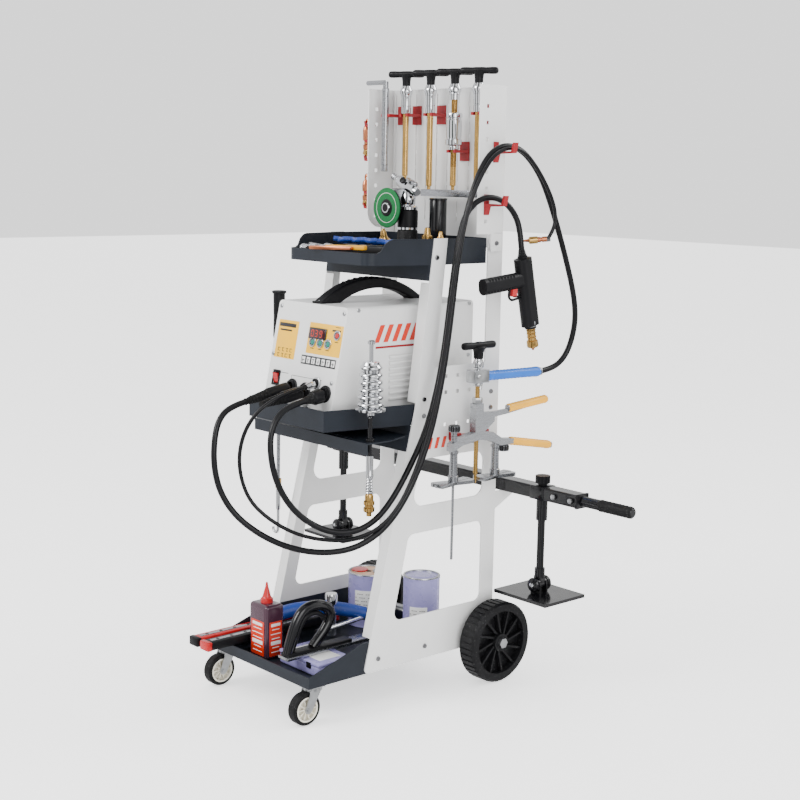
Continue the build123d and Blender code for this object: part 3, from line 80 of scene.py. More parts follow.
# ---- materials ----
PATCH_EDGES = (0.28, 0.72)     # where a colour patch turns from dark to light
SCUFF_EDGES = (0.60, 0.68)
RELIEF = 0.0006                # metres
SOFT_EDGE = math.radians(34)   # faces that meet at less than this are shaded smooth


def finish_of(name, colour, rough, metal=0.0, vary=0.10, patch=14.0, grain=900.0, bump=0.08, rough_vary=0.07,
              stretch=(1, 1, 1), coat=0.0, marks=0.0, gloss=0.5):
    """A procedural material: patchy colour, fine grain in the normal, uneven roughness and scuffs."""
    made = bpy.data.materials.new(name)
    made.use_nodes = True
    nodes, links = made.node_tree.nodes, made.node_tree.links
    shader = nodes["Principled BSDF"]
    shader.inputs["Metallic"].default_value = metal
    shader.inputs["Coat Weight"].default_value = coat
    shader.inputs["Specular IOR Level"].default_value = gloss
    where = nodes.new("ShaderNodeTexCoord")
    mapped = nodes.new("ShaderNodeMapping")
    mapped.inputs["Scale"].default_value = stretch
    links.new(where.outputs["Object"], mapped.inputs["Vector"])

    def noise(scale, detail):
        node = nodes.new("ShaderNodeTexNoise")
        node.inputs["Scale"].default_value = scale
        node.inputs["Detail"].default_value = detail
        links.new(mapped.outputs["Vector"], node.inputs["Vector"])
        return node.outputs["Fac"]

    ramp = nodes.new("ShaderNodeValToRGB")
    low, high = ramp.color_ramp.elements
    low.position, high.position = PATCH_EDGES
    low.color = [c * (1 - vary) for c in colour] + [1]
    high.color = [min(1, c * (1 + vary)) for c in colour] + [1]
    links.new(noise(patch, 6), ramp.inputs["Fac"])
    shade = ramp.outputs["Color"]
    if marks:
        scuff = nodes.new("ShaderNodeValToRGB")
        faint, strong = scuff.color_ramp.elements
        faint.position, strong.position = SCUFF_EDGES
        links.new(noise(patch * 5, 9), scuff.inputs["Fac"])
        mixed = nodes.new("ShaderNodeMix")
        mixed.data_type = "RGBA"
        mixed.inputs[7].default_value = [0.5 * c + 0.28 for c in colour] + [1]
        strength = nodes.new("ShaderNodeMath")
        strength.operation = "MULTIPLY"
        strength.inputs[1].default_value = marks
        links.new(scuff.outputs["Color"], strength.inputs[0])
        links.new(strength.outputs[0], mixed.inputs[0])
        links.new(shade, mixed.inputs[6])
        shade = mixed.outputs[2]
    links.new(shade, shader.inputs["Base Color"])
    spread = nodes.new("ShaderNodeMapRange")
    spread.inputs["To Min"].default_value = max(0.02, rough - rough_vary)
    spread.inputs["To Max"].default_value = min(1, rough + rough_vary)
    links.new(noise(patch * 3, 4), spread.inputs["Value"])
    links.new(spread.outputs["Result"], shader.inputs["Roughness"])
    relief = nodes.new("ShaderNodeBump")
    relief.inputs["Strength"].default_value = bump
    relief.inputs["Distance"].default_value = RELIEF
    links.new(noise(grain, 2), relief.inputs["Height"])
    links.new(relief.outputs["Normal"], shader.inputs["Normal"])
    return made


WHITE = finish_of("white_powder_coat", (0.66, 0.66, 0.655), 0.38, vary=0.02, grain=1400, bump=0.10)
CASE = finish_of("white_case", (0.66, 0.66, 0.655), 0.34, vary=0.02, grain=1800, bump=0.06)
CHARCOAL = finish_of("charcoal_powder_coat", (0.011, 0.014, 0.020), 0.36, vary=0.15, grain=1500, bump=0.14,
                     gloss=0.3)
BLACK = finish_of("black_plastic", (0.005, 0.005, 0.006), 0.38, vary=0.2, grain=2200, bump=0.10, gloss=0.22)
WHEEL = finish_of("wheel_plastic", (0.006, 0.006, 0.007), 0.46, vary=0.25, patch=40, bump=0.15, marks=0.10,
                  gloss=0.22)
RUBBER = finish_of("rubber", (0.005, 0.005, 0.0055), 0.55, vary=0.25, patch=60, grain=1600, bump=0.2,
                   marks=0.12, gloss=0.22)
SHEATH = finish_of("cable_sheath", (0.004, 0.004, 0.005), 0.32, vary=0.2, patch=30, grain=2500, bump=0.08,
                   gloss=0.3)
GLOSS_BLACK = finish_of("black_paint", (0.004, 0.004, 0.005), 0.20, vary=0.15, coat=0.3, bump=0.04, gloss=0.3)
CHROME = finish_of("chrome", (0.70, 0.71, 0.73), 0.08, 1.0, vary=0.03, rough_vary=0.04, bump=0.02)
ZINC = finish_of("zinc_plate", (0.50, 0.51, 0.52), 0.34, 1.0, vary=0.12, patch=60, bump=0.12)
STEEL = finish_of("turned_steel", (0.42, 0.43, 0.45), 0.26, 1.0, vary=0.08, patch=20, stretch=(1, 1, 14),
                  bump=0.10)
BRASS = finish_of("brass", (0.62, 0.38, 0.12), 0.24, 1.0, vary=0.10, patch=50, bump=0.06)
COPPER = finish_of("copper", (0.66, 0.24, 0.12), 0.30, 1.0, vary=0.16, patch=70, bump=0.08)
CREAM = finish_of("cream_plastic", (0.66, 0.63, 0.54), 0.42, vary=0.06, bump=0.08)
HOOK_RED = finish_of("dark_red_coat", (0.26, 0.002, 0.006), 0.36, vary=0.10, grain=1500, bump=0.10)
RED = finish_of("red_plastic", (0.42, 0.004, 0.006), 0.28, vary=0.06, coat=0.2, bump=0.04)
ORANGE = finish_of("orange_red_film", (0.56, 0.022, 0.003), 0.34, vary=0.04, bump=0.03)
GREEN = finish_of("green_plastic", (0.0, 0.16, 0.12), 0.26, vary=0.06, coat=0.2, bump=0.03)
BLUE = finish_of("blue_grip", (0.0, 0.11, 0.50), 0.40, vary=0.10, grain=2500, bump=0.14)
YELLOW = finish_of("yellow_grip", (0.76, 0.36, 0.0), 0.42, vary=0.10, grain=2500, bump=0.12)
LABEL = finish_of("yellow_film", (0.80, 0.43, 0.0), 0.36, vary=0.03, bump=0.03)
PAPER = finish_of("white_film", (0.70, 0.70, 0.69), 0.40, vary=0.03, bump=0.03)
INK = finish_of("black_film", (0.015, 0.015, 0.017), 0.34, vary=0.1, bump=0.03)
SCREEN = finish_of("dark_screen", (0.035, 0.004, 0.006), 0.12, vary=0.15, coat=0.6, bump=0.02)
LAVENDER = finish_of("lavender_lacquer", (0.27, 0.25, 0.50), 0.28, vary=0.05, coat=0.3, bump=0.04)
TAN = finish_of("tan_lid", (0.52, 0.33, 0.22), 0.42, vary=0.12, bump=0.10)
TOOL_BLUE = finish_of("blue_tool_paint", (0.012, 0.045, 0.26), 0.38, vary=0.12, patch=40, bump=0.10,
                      marks=0.2)
GRIT = finish_of("green_abrasive", (0.0, 0.13, 0.03), 0.85, vary=0.35, patch=700, grain=2600, bump=0.6)
BOARD = finish_of("circuit_board", (0.02, 0.16, 0.07), 0.4, vary=0.2, patch=200)
BOLT = finish_of("bolt_head", (0.22, 0.22, 0.23), 0.26, 1.0, vary=0.2, patch=90, bump=0.1)
DARK_BOTTLE = finish_of("smoked_bottle", (0.045, 0.016, 0.030), 0.16, vary=0.2, patch=9, coat=0.4, bump=0.03)
CORE = finish_of("laminated_core", (0.12, 0.12, 0.13), 0.5, 0.6, vary=0.2, patch=20, stretch=(1, 40, 1),
                 bump=0.3)

NODE_FINISH = {
    WHITE: "side_frame_left side_frame_right upper_frame_left upper_frame_right tool_panel",
    CHARCOAL: "base_tray mid_shelf tool_rack top_tray",
    CASE: "welder_chassis welder_cover welder_front",
    WHEEL: "rear_wheel_left rear_wheel_right",
    RUBBER: "caster_tyre_left caster_tyre_right",
    CREAM: "caster_rim_left caster_rim_right",
    BOLT: "frame_bolts",
    ZINC: "rear_axle caster_plates caster_fork_left caster_fork_right",
    STEEL: "puller_bridge puller_lever ground_clamp",
    BLACK: "output_sockets carry_handle cooling_fan gun_body lever_knob_left lever_knob_right",
    GLOSS_BLACK: "lever_beam lever_leg_left lever_leg_right lever_foot_left lever_foot_right",
    GREEN: "button_green_1 button_green_2 button_green_3 sanding_disc",
    RED: "button_red power_switch gun_trigger",
    HOOK_RED: "panel_hooks",
    BOARD: "control_board",
    CORE: "transformer",
    BRASS: "gun_nozzle pull_rods puller_screw",
    CHROME: "hammer_rod hammer_weight hook_puller pull_weight sander_body",
    LAVENDER: "tray_tools",
    SHEATH: "cable_plugs gun_cable ground_cable aux_cable",
}
for given, names in NODE_FINISH.items():
    for name in names.split():
        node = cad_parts[name]
        node.data.materials.clear()
        node.data.materials.append(given)


# ---- building pieces from turned, boxed, cut and bent shapes ----
def basis(axis):
    """Matrix that turns +Z onto axis."""
    return Vector(axis).to_track_quat("Z", "Y").to_matrix().to_4x4()


class Piece:
    """One visible piece, made of several shapes in trolley millimetres, riding on one body."""

    def __init__(self, name, body="station"):
        self.name, self.body, self.mesh, self.finishes = name, body, bmesh.new(), []

    def add(self, shape, finish, placed):
        if finish not in self.finishes:
            self.finishes.append(finish)
        index = self.finishes.index(finish)
        shape.transform(placed)
        bmesh.ops.recalc_face_normals(shape, faces=shape.faces)
        for face in shape.faces:
            face.material_index = index
            face.smooth = True
        for edge in shape.edges:
            edge.smooth = len(edge.link_faces) != 2 or edge.calc_face_angle() < SOFT_EDGE
        carried = bpy.data.meshes.new("carried")
        shape.to_mesh(carried)
        shape.free()
        self.mesh.from_mesh(carried)
        bpy.data.meshes.remove(carried)
        return self

    def turned(self, finish, base, profile, axis=(0, 0, 1), around=40, flutes=0.0):
        """A turned shape: profile is (height, radius) pairs along axis from base."""
        shape = bmesh.new()
        rings = []
        for height, radius in profile:
            ring = []
            for i in range(around):
                r = radius * (1 - flutes * (i % 2))
                a = 2 * math.pi * i / around
                ring.append(shape.verts.new((r * math.cos(a), r * math.sin(a), height)))
            rings.append(ring)
        for below, above in zip(rings, rings[1:]):
            for i in range(around):
                j = (i + 1) % around
                shape.faces.new((below[i], below[j], above[j], above[i]))
        shape.faces.new(rings[0][::-1])
        shape.faces.new(rings[-1])
        return self.add(shape, finish, Matrix.Translation(base) @ basis(axis))

    def block(self, finish, centre, size, turn=(0, 0, 0), bevel=1.0, steps=2):
        """A box with rounded edges."""
        shape = bmesh.new()
        bmesh.ops.create_cube(shape, size=1)
        shape.transform(Matrix.Diagonal((*size, 1)))
        if bevel:
            bmesh.ops.bevel(shape, geom=shape.edges[:], offset=bevel, segments=steps, profile=0.5,
                            affect="EDGES")
        turned = Euler([math.radians(a) for a in turn]).to_matrix().to_4x4()
        return self.add(shape, finish, Matrix.Translation(centre) @ turned)

    def cut(self, finish, origin, across, along, outline, depth):
        """A plate: outline points (a, b) measured along two directions from origin, depth thick."""
        shape = bmesh.new()
        lower = [shape.verts.new((a, b, 0)) for a, b in outline]
        upper = [shape.verts.new((a, b, depth)) for a, b in outline]
        shape.faces.new(lower)
        shape.faces.new(upper)
        for i in range(len(outline)):
            j = (i + 1) % len(outline)
            shape.faces.new((lower[i], lower[j], upper[j], upper[i]))
        x, y = Vector(across).normalized(), Vector(along).normalized()
        placed = Matrix((x, y, x.cross(y))).transposed().to_4x4()
        return self.add(shape, finish, Matrix.Translation(origin) @ placed)

    def bent(self, finish, points, radius, around=14, steps=6):
        """A round bar or wire along a smooth line through points."""
        points = [Vector(p) for p in points]
        line = []
        for i in range(len(points) - 1):
            a, b = points[max(i - 1, 0)], points[i]
            c, d = points[i + 1], points[min(i + 2, len(points) - 1)]
            for k in range(steps):
                t = k / steps
                line.append(0.5 * (2 * b + (c - a) * t + (2 * a - 5 * b + 4 * c - d) * t * t
                                   + (3 * b - 3 * c + d - a) * t ** 3))
        line.append(points[-1])
        shape = bmesh.new()
        side = (line[1] - line[0]).orthogonal().normalized()
        rings = []
        for i, p in enumerate(line):
            ahead = (line[min(i + 1, len(line) - 1)] - line[max(i - 1, 0)]).normalized()
            side = (side - ahead * side.dot(ahead)).normalized()
            other = ahead.cross(side)
            ring = []
            for k in range(around):
                a = 2 * math.pi * k / around
                ring.append(shape.verts.new(p + (side * math.cos(a) + other * math.sin(a)) * radius))
            rings.append(ring)
        for below, above in zip(rings, rings[1:]):
            for k in range(around):
                j = (k + 1) % around
                shape.faces.new((below[k], below[j], above[j], above[k]))
        shape.faces.new(rings[0][::-1])
        shape.faces.new(rings[-1])
        return self.add(shape, finish, Matrix.Identity(4))

    def done(self, *nodes, slot=None):
        """Finishes the piece, which then stands for those CAD nodes."""
        for vertex in self.mesh.verts:
            vertex.co = at(vertex.co)
        mesh = bpy.data.meshes.new(self.name)
        self.mesh.to_mesh(mesh)
        self.mesh.free()
        for finish in self.finishes:
            mesh.materials.append(finish)
        made = bpy.data.objects.new(self.name, mesh)
        bpy.context.scene.collection.objects.link(made)
        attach(made, self.body)
        if nodes:
            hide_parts(*nodes)
        return made


# ---- cables ----
def out_of_plug(x, z, distance):
    """A point on a plug's axis, distance from the welder's front."""
    droop = math.radians(10)
    return Vector((x, FRONT_Y + CASE_LEAN * (z - CASE_LOW) - distance * math.cos(droop),
                   z - distance * math.sin(droop)))


def cable(name, points, diameter):
    """A free cable along a smooth line, in trolley millimetres."""
    curve = bpy.data.curves.new(name, "CURVE")
    curve.dimensions = "3D"
    spline = curve.splines.new("NURBS")
    spline.points.add(len(points) - 1)
    for point, place in zip(spline.points, points):
        point.co = (*at(place), 1)
    spline.order_u = 3
    spline.use_endpoint_u = True
    spline.resolution_u = 8
    curve.bevel_depth = diameter / 2000
    curve.bevel_resolution = 4
    curve.use_fill_caps = True
    curve.materials.append(SHEATH)
    made = bpy.data.objects.new(name, curve)
    bpy.context.scene.collection.objects.link(made)
    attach(made, "station")
    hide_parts(name.replace("_line", "_cable"))
    return made


gun_axis = Vector((0, -math.sin(GUN_LEAN), math.cos(GUN_LEAN)))
gun_end = GUN_GRIP + 50 * gun_axis
cable("gun_line", [out_of_plug(96, 736, 61), out_of_plug(96, 736, 103)] + [
    (97, -464, 698), (103, -487, 662), (111, -492, 612), (118, -482, 558), (130, -458, 506),
    (150, -422, 464), (178, -372, 436), (199, -316, 434), (209, -262, 458), (210, -212, 506),
    (210, -164, 572), (210, -120, 646), (210, -88, 736), (210, -68, 828), (210, -55, 920),
    (210, -44, 1004), (211, -32, 1074), (213, -18, 1131), (216, 4, 1163), (220, 38, 1181),
    (225, 76, 1181), (231, 110, 1164), (239, 132, 1133), (246, 137, 1098), gun_end + 30 * gun_axis, gun_end,
], 14)
cable("ground_line", [out_of_plug(-28, 738, 135), out_of_plug(-28, 738, 179)] + [
    (-24, -538, 680), (-14, -556, 632), (-8, -560, 576), (2, -550, 520), (24, -526, 470),
    (60, -490, 430), (108, -448, 402), (160, -400, 390), (204, -342, 396), (221, -282, 420),
    (227, -230, 460), (228, -184, 516), (228, -146, 584), (228, -116, 660), (228, -93, 748),
    (228, -76, 838), (228, -63, 928), (228, -52, 1014), (228, -38, 1096), (228, -15, 1174),
    (229, 15, 1244), (231, 49, 1287), (233, 93, 1303), (235, 139, 1295), (237, 178, 1267),
    (240, 214, 1224), (242, 246, 1164), (244, 276, 1096), (246, 306, 1022), (248, 332, 948),
    (247, 344, 888), (242, 340, 836), (237, 322, 791), (233, 284, 763.5), (PULLER_X, 238, 760.2),
], 14)
lug = Piece("aux_terminal")
left_way = Vector((-0.66, -0.74, -0.10)).normalized()
lug_at = Vector((257, 222, 1084))
lug.turned(CHROME, lug_at - 6 * left_way, [(0, 5), (1, 7), (9, 7.4), (10, 6)], left_way, 6)
lug.turned(COPPER, lug_at, [(2, 5), (3, 6.6), (14, 6.6), (15, 5.4), (17, 5.4), (18, 6.6), (24, 6.6),
                            (25, 5)], left_way)
lug.turned(BRASS, lug_at, [(24, 6), (25, 8.6), (44, 8.8), (46, 7)], left_way, 32, 0.03)
lug.turned(COPPER, lug_at, [(45, 5), (47, 4), (58, 2.4), (60, 1)], left_way)
lug = lug.done(slot="brass")
cable("aux_line", [out_of_plug(60, 756, 45), out_of_plug(60, 756, 85)]
      + [(58, -448, 728), (46, -484, 702), (32, -506, 660), (22, -514, 608), (20, -508, 554),
         (32, -492, 500), (60, -462, 460), (102, -422, 428), (146, -378, 414), (192, -328, 414),
         (226, -274, 438), (240, -226, 486), (243, -184, 556), (243, -150, 634), (243, -124, 712),
         (243, -104, 796), (243, -90, 882), (243, -77, 970), (243, -62, 1058), (243, -42, 1138),
         (244, -14, 1200), (246, 16, 1250), (248, 47, 1283), (250, 90, 1298), (252, 133, 1290),
         (254, 168, 1263), (256, 202, 1224), (258, 230, 1182), (260, 244, 1142), (259, 240, 1106),
         (257, 220, 1082),], 9)

# ---- welder front: labels, display, button rings, switch frame and screws ----
def on_front(piece, finish, x, z, width, height, out=0.0, thick=0.5, bevel=0.2):
    """A thin plate on the welder's front."""
    return piece.block(finish, front(x, z, out + thick / 2), (width, thick, height), FRONT_TURN, bevel)


labels = Piece("front_labels")
on_front(labels, LABEL, -77, 843, 76, 90)
on_front(labels, INK, -80, 876, 62, 9, 0.5)
on_front(labels, INK, -84, 864, 44, 4, 0.5)
for row in range(2):
    for i in range(4):
        x = -100 + 15 * i
        on_front(labels, INK, x, 822 - 13 * row, 9, 1.3, 0.5)
        on_front(labels, INK, x - 3 + 2 * ((i + row) % 3), 818 - 13 * row, 1.6, 7, 0.5)
        on_front(labels, INK, x + 2, 815 - 13 * row, 5, 1.3, 0.5)
on_front(labels, LABEL, 62, 855, 122, 72)
on_front(labels, INK, 100, 878, 30, 4, 0.5)
on_front(labels, INK, 104, 886, 18, 1.4, 0.5)
for i in range(3):
    on_front(labels, INK, 22 + 28 * i, 832, 12, 1.6, 0.5)
on_front(labels, INK, 106, 853, 12, 1.6, 0.5)
on_front(labels, INK, 52, 804, 126, 21)
for i in range(7):
    x = -2 + 18 * i
    on_front(labels, PAPER, x, 804, 12, 14, 0.5, bevel=0.24)
    on_front(labels, INK, x, 803 + (i % 3) * 2, 8 - (i % 2) * 3, 1.8, 1.0)
    on_front(labels, INK, x - 2 + (i % 4), 803, 1.8, 9, 1.0)
on_front(labels, INK, -65, 766, 30, 1.2)
on_front(labels, INK, 20, 764, 112, 0.9)
on_front(labels, INK, -36, 738, 0.9, 52)
labels.done(slot="front_white")

screen = Piece("display")
on_front(screen, INK, 36, 866, 62, 26, 1.2, 2.4, 0.8)
on_front(screen, SCREEN, 36, 866, 55, 20, 3.0, 1.4, 0.4)
SEGMENTS = {"a": (0, 7), "g": (0, 0), "d": (0, -7), "f": (-4, 3.5), "b": (4, 3.5), "e": (-4, -3.5),
            "c": (4, -3.5)}
for x, lit in ((20, "abcdef"), (34, "abgcd"), (50, "abcdfg")):
    for segment in lit:
        dx, dz = SEGMENTS[segment]
        size = (6.4, 1.5) if segment in "agd" else (1.5, 5.6)
        on_front(screen, ORANGE, x + dx, 866 + dz, *size, 4.4, 0.3, 0.1)
screen.done(slot="black_plastic")

rings = Piece("button_rings")
for x, z in ((22, 846), (50, 846), (78, 846), (106, 868)):
    rings.turned(CHROME, front(x, z, 1), [(0, 12), (2.2, 11.6), (2.6, 10.4), (2.6, 8.9), (0, 8.9)],
                 axis=out_of_front)
for x, z in ((-116, 918), (116, 918), (-116, 690), (116, 690), (112, 762), (-118, 806), (40, 700)):
    rings.turned(ZINC, front(x, z), [(0, 5.2), (1.6, 4.8), (2.6, 3.2), (2.6, 1.4), (1.4, 1.2)],
                 axis=out_of_front, around=24)
rings.done(slot="chrome")

switch = Piece("switch_frame")
for dx, dz, width, height in ((0, 15.5, 26, 5), (0, -15.5, 26, 5), (11.5, 0, 3, 30), (-11.5, 0, 3, 30)):
    on_front(switch, BLACK, SWITCH[0] + dx, SWITCH[1] + dz, width, height, 0, 3.4, 1.0)
switch.done(slot="black_plastic")

# ---- cable plugs with ribbed boots ----
plugs = Piece("plugs")
toward = out_of_plug(0, 0, 1) - out_of_plug(0, 0, 0)
for x, z, body, boot in ((-28, 738, 58, 62), (22, 735, 52, 60)):
    start = out_of_plug(x, z, 3)
    plugs.turned(BRASS, start, [(0, 3.6), (12, 3.6)], toward, 20)
    plugs.turned(BLACK, start, [(11.5, 12), (12, 14.6), (17, 15), (17.6, 14.2), (20, 14.2), (20.6, 15),
                                (body + 8, 15), (body + 11, 14.4)], toward, 30, 0.025)
    boot_line = [(body + 11, 13.6)]
    for i in range(7):
        h, r = body + 13 + i * (boot - 6) / 7, 13.2 - 0.72 * i
        boot_line += [(h, r), (h + 4.6, r - 0.3), (h + 5.2, r - 1.9), (h + 7.2, r - 2.0)]
    plugs.turned(RUBBER, start, boot_line + [(body + boot + 12, 8.2), (body + boot + 12, 7.1)], toward)
start = out_of_plug(60, 756, 3)
plugs.turned(CHROME, start, [(0, 5), (5, 5), (5.5, 8.6), (9, 8.8), (9.5, 8.2)], toward, 6)
plugs.turned(CHROME, start, [(9, 8.4), (12, 8.4), (24, 8.0), (27, 6.6), (30, 6.4)], toward, 36, 0.05)
plugs.turned(RUBBER, start, [(29, 6.2), (31, 6.6), (34, 6.2), (35, 5.4), (37, 5.8), (39, 5.2), (42, 4.6)],
             toward)
start = out_of_plug(96, 736, 3)
plugs.turned(BLACK, start, [(0, 12), (9, 12), (11, 17), (30, 17), (34, 15.6), (36, 13)], toward, 28, 0.06)
plugs.turned(RUBBER, start, [(35, 12.6), (40, 12), (41, 10.6), (43, 10.8), (47, 10), (48, 8.8), (50, 9.2),
                             (54, 8.6), (58, 7.2)], toward)
plugs.done("cable_plugs", slot="black_plastic")

sockets = Piece("socket_nuts")
for x, z, r in ((-28, 738, 15), (22, 735, 15), (60, 756, 10), (96, 736, 16)):
    sockets.turned(ZINC if r < 11 else BLACK, front(x, z), [(0, r + 4), (3.2, r + 3.8), (4, r + 2), (4, r),
                                                            (0, r)], out_of_front, 30)
sockets.done(slot="black_plastic")

# ---- welder case: side film, louvre hoods, screws; then the handle's ribs and ends ----
case = Piece("case_trim")
for i in range(5):
    case.cut(ORANGE, (CASE_FILM, -210 + 27 * i, 848), *ON_SIDE, [(0, 0), (14, 0), (32, 40), (18, 40)], 0.5)
case.cut(HOOK_RED, (CASE_FILM, -206, 834), *ON_SIDE, [(0, 0), (132, 0), (132, 5), (0, 5)], 0.5)
for sign in (-1, 1):
    for i in range(8):
        case.block(CASE, (sign * 128.6, -128, 713.5 + 14 * i), (5.2, 74, 8.4), (0, sign * 24, 0), 2.0, 3)
for sign in (-1, 1):
    for y, z in ((-258, 925), (-30, 925), (92, 925), (-270, 690), (-80, 690), (92, 690), (92, 800)):
        case.turned(ZINC, (sign * CASE_SIDE, y, z), [(0, 5), (1.4, 4.6), (2.2, 3), (2.2, 1.4), (1.2, 1.2)],
                    (sign, 0, 0), 24)
case.done(slot="case_white")

ribs = Piece("handle_ribs")
for i in range(9):
    a = (i - 4) * 0.07
    y = -119 + 259 * math.sin(a)
    z = 728.5 + 259 * math.cos(a)
    ribs.block(BLACK, (0, y, z), (30, 6.5, 3.2), (math.degrees(-a), 0, 0), 1.2)
for y in (-262, 38):
    ribs.block(BLACK, (0, y, 934.5), (36, 34, 5), bevel=2)
    ribs.turned(ZINC, (0, y + (-6 if y < 0 else 6), 937), [(0, 4.6), (1.6, 4.4), (2.4, 2.6)], around=24)
ribs.done(slot="black_plastic")

# ---- pull rods on the panel: T handle, cone, brass rod ----
rods = Piece("pull_rod_set")
CONE = [(1428, 15.5), (1434, 15.8), (1438, 14.5), (1446, 10.5), (1446, 6)]
for x, low, clip in ((-105, 1226, 1372), (-16, 1202, 1372), (SLIDE_ROD_X, 1204, 1402), (150, 1192, 1372)):
    rods.turned(BRASS, (x, ROD_Y, 0), [(low - 10, 2), (low - 8, 4.4), (low, 4.5), (low + 2, 7.5),
                                       (clip + 7, 7.5)], around=28)
    if x == SLIDE_ROD_X:
        tube = [(1409, 9), (1409, 12), (1424, 12)]
    else:
        tube = [(clip + 7, 9), (clip + 7, 11.4), (clip + 9, 12), (clip + 22, 12), (clip + 23, 11),
                (clip + 25, 11), (clip + 26, 12), (1418, 12), (1424, 13)]
    rods.turned(CHROME, (x, ROD_Y, 0), tube + CONE)
    rods.turned(CHROME, (x, ROD_Y, 1420), [(0, 11), (1, 13.6), (3, 13.6), (4, 11)])
    a = math.radians(28)
    along = Vector((math.cos(a), math.sin(a), 0))
    rods.turned(BLACK, Vector((x, ROD_Y, T_HANDLE_Z)) - 46.5 * along,
                [(0, 4), (1.5, 6.5), (5, 8), (14, 8.2), (30, 7.6), (38, 8.2), (55, 8.2), (63, 7.6),
                 (79, 8.2), (88, 8), (91.5, 6.5), (93, 4)], axis=along)
    rods.turned(BLACK, (x, ROD_Y, 1444), [(0, 8), (1, 10), (12, 10.2), (22, 11.5), (30, 14)])
rods.turned(CHROME, (SLIDE_ROD_X, ROD_Y, 0), [(1291, 8), (1291, 12), (1293, 12.6), (1298, 12.6),
                                              (1300.7, 12), (1300.7, 8)])
rods.turned(BRASS, (SLIDE_ROD_X, ROD_Y, 0), [(1250, 7.5), (1415, 7.5)], around=28)
rods.turned(STEEL, (*SLIM_TOOL, 0), [(1236, 5), (1237, 8.6), (1240, 9), (1244, 9), (1245, 8.2), (1250, 8.2),
                                     (1251, 9), (1440, 9), (1442, 7), (1458, 7)])
rods.turned(STEEL, (-230, 62, 1456), [(0, 4), (1, 5.6), (4, 6), (66, 6), (70, 5.6), (71, 4)], axis=(1, 0, 0))
rods.block(HOOK_RED, (-160, 92, 1375), (31, 62, 7), bevel=1)
rods.block(HOOK_RED, (-160, 119, 1376), (31, 3, 46), bevel=1)
rods.done("pull_rods", slot="brass")

weight = Piece("pull_rod_weight", "pull_weight")
weight.turned(CHROME, (SLIDE_ROD_X, ROD_Y, 1301), [(0, 7.7), (0, 17), (2, 19.6), (7, 20), (14, 20),
                                                   (16, 17.4), (19, 17.4), (21, 18.6), (60, 18.6),
                                                   (62, 17.2), (65, 17.2), (67, 20), (73, 20), (76, 19),
                                                   (78, 15), (78, 7.7), (0, 7.7)])
weight.done("pull_weight", slot="chrome")

# ---- slide hammer with its weight, and hook puller, hung in the tool rack ----
hammer = Piece("slide_hammer")
hammer.turned(BRASS, (*HAMMER, 0), [(464, 3), (465, 6), (472, 6), (474, 10), (476, 12.8), (484, 13),
                                    (486, 10.5), (490, 10.5), (492, 13), (499, 12.6), (501, 10), (512, 10),
                                    (516, 8)], around=12)
for i in range(6):
    hammer.turned(CHROME, (*HAMMER, 516 + 6.4 * i), [(0, 6), (0.8, 8 - 0.3 * i), (3.2, 9.2 - 0.3 * i),
                                                     (5.4, 8 - 0.3 * i), (6.4, 6)])
hammer.turned(CHROME, (*HAMMER, 0), [(553, 6), (554, 8.6), (556, 9), (560, 9), (561, 8.4), (598, 8.4),
                                     (600, 9), (604, 8.4), (604, 5)])
hammer.turned(GLOSS_BLACK, (*HAMMER, 0), [(603, 4), (604, 5), (634, 5), (636, 5), (636, 9.6), (643, 10),
                                          (644, 9), (644, 5), (695, 5)])
hammer.turned(CHROME, (*HAMMER, 0), [(690, 5), (695, 8), (697, 10.8), (703, 11), (705.6, 10.4), (705.6, 5),
                                     (820, 5), (856, 5), (857, 8.4), (860, 9), (864, 9), (866, 6)])
hammer.done("hammer_rod", slot="chrome")
mass = Piece("hammer_mass", "hammer_weight")
line = [(0, 5.2), (0, 33), (1, 34.6), (3, 35), (5.5, 34.4), (7, 30), (8, 22)]
for i in range(6):
    h, r = 9 + 16.7 * i, 31 - i
    line += [(h, 22), (h + 1.2, r - 4), (h + 3.4, r - 1), (h + 6.2, r), (h + 9, r - 1), (h + 11.4, r - 4),
             (h + 12.8, 21.5)]
line += [(108, 20), (111, 19), (112, 16), (112, 5.2), (0, 5.2)]
mass.turned(CHROME, (*HAMMER, 706), line, around=56)
mass.done("hammer_weight", slot="chrome")

puller = Piece("hook_puller_tool")
puller.turned(BLACK, (*HOOK_PULLER, 0), [(828, 9), (829, 13), (836, 14.4), (880, 13.6), (928, 14.4),
                                         (938, 14.4), (940, 17), (942, 18), (945, 17.4), (946, 14)],
              around=32, flutes=0.05)
puller.turned(CHROME, (*HOOK_PULLER, 0), [(806, 5), (808, 10), (814, 11), (824, 11), (829, 9)])
puller.turned(STEEL, (*HOOK_PULLER, 0), [(478, 4.5), (634, 4.5), (636, 4.5), (636, 9.6), (643, 10),
                                         (644, 4.5), (808, 4.5)], around=24)
puller.turned(BRASS, (*HOOK_PULLER, 0), [(454, 5), (455, 7.6), (478, 8), (480, 5)], around=6)
puller.turned(CHROME, (*HOOK_PULLER, 0), [(398, 3.4), (402, 5.4), (440, 5.6), (455, 5.6)])
puller.bent(CHROME, [(*HOOK_PULLER, 402), (*HOOK_PULLER, 372), (*HOOK_PULLER, 356), (-200, -238, 344),
                     (-208, -238, 340), (-216, -238, 344), (-218, -238, 352)], 3.5)
puller.done("hook_puller", slot="chrome")

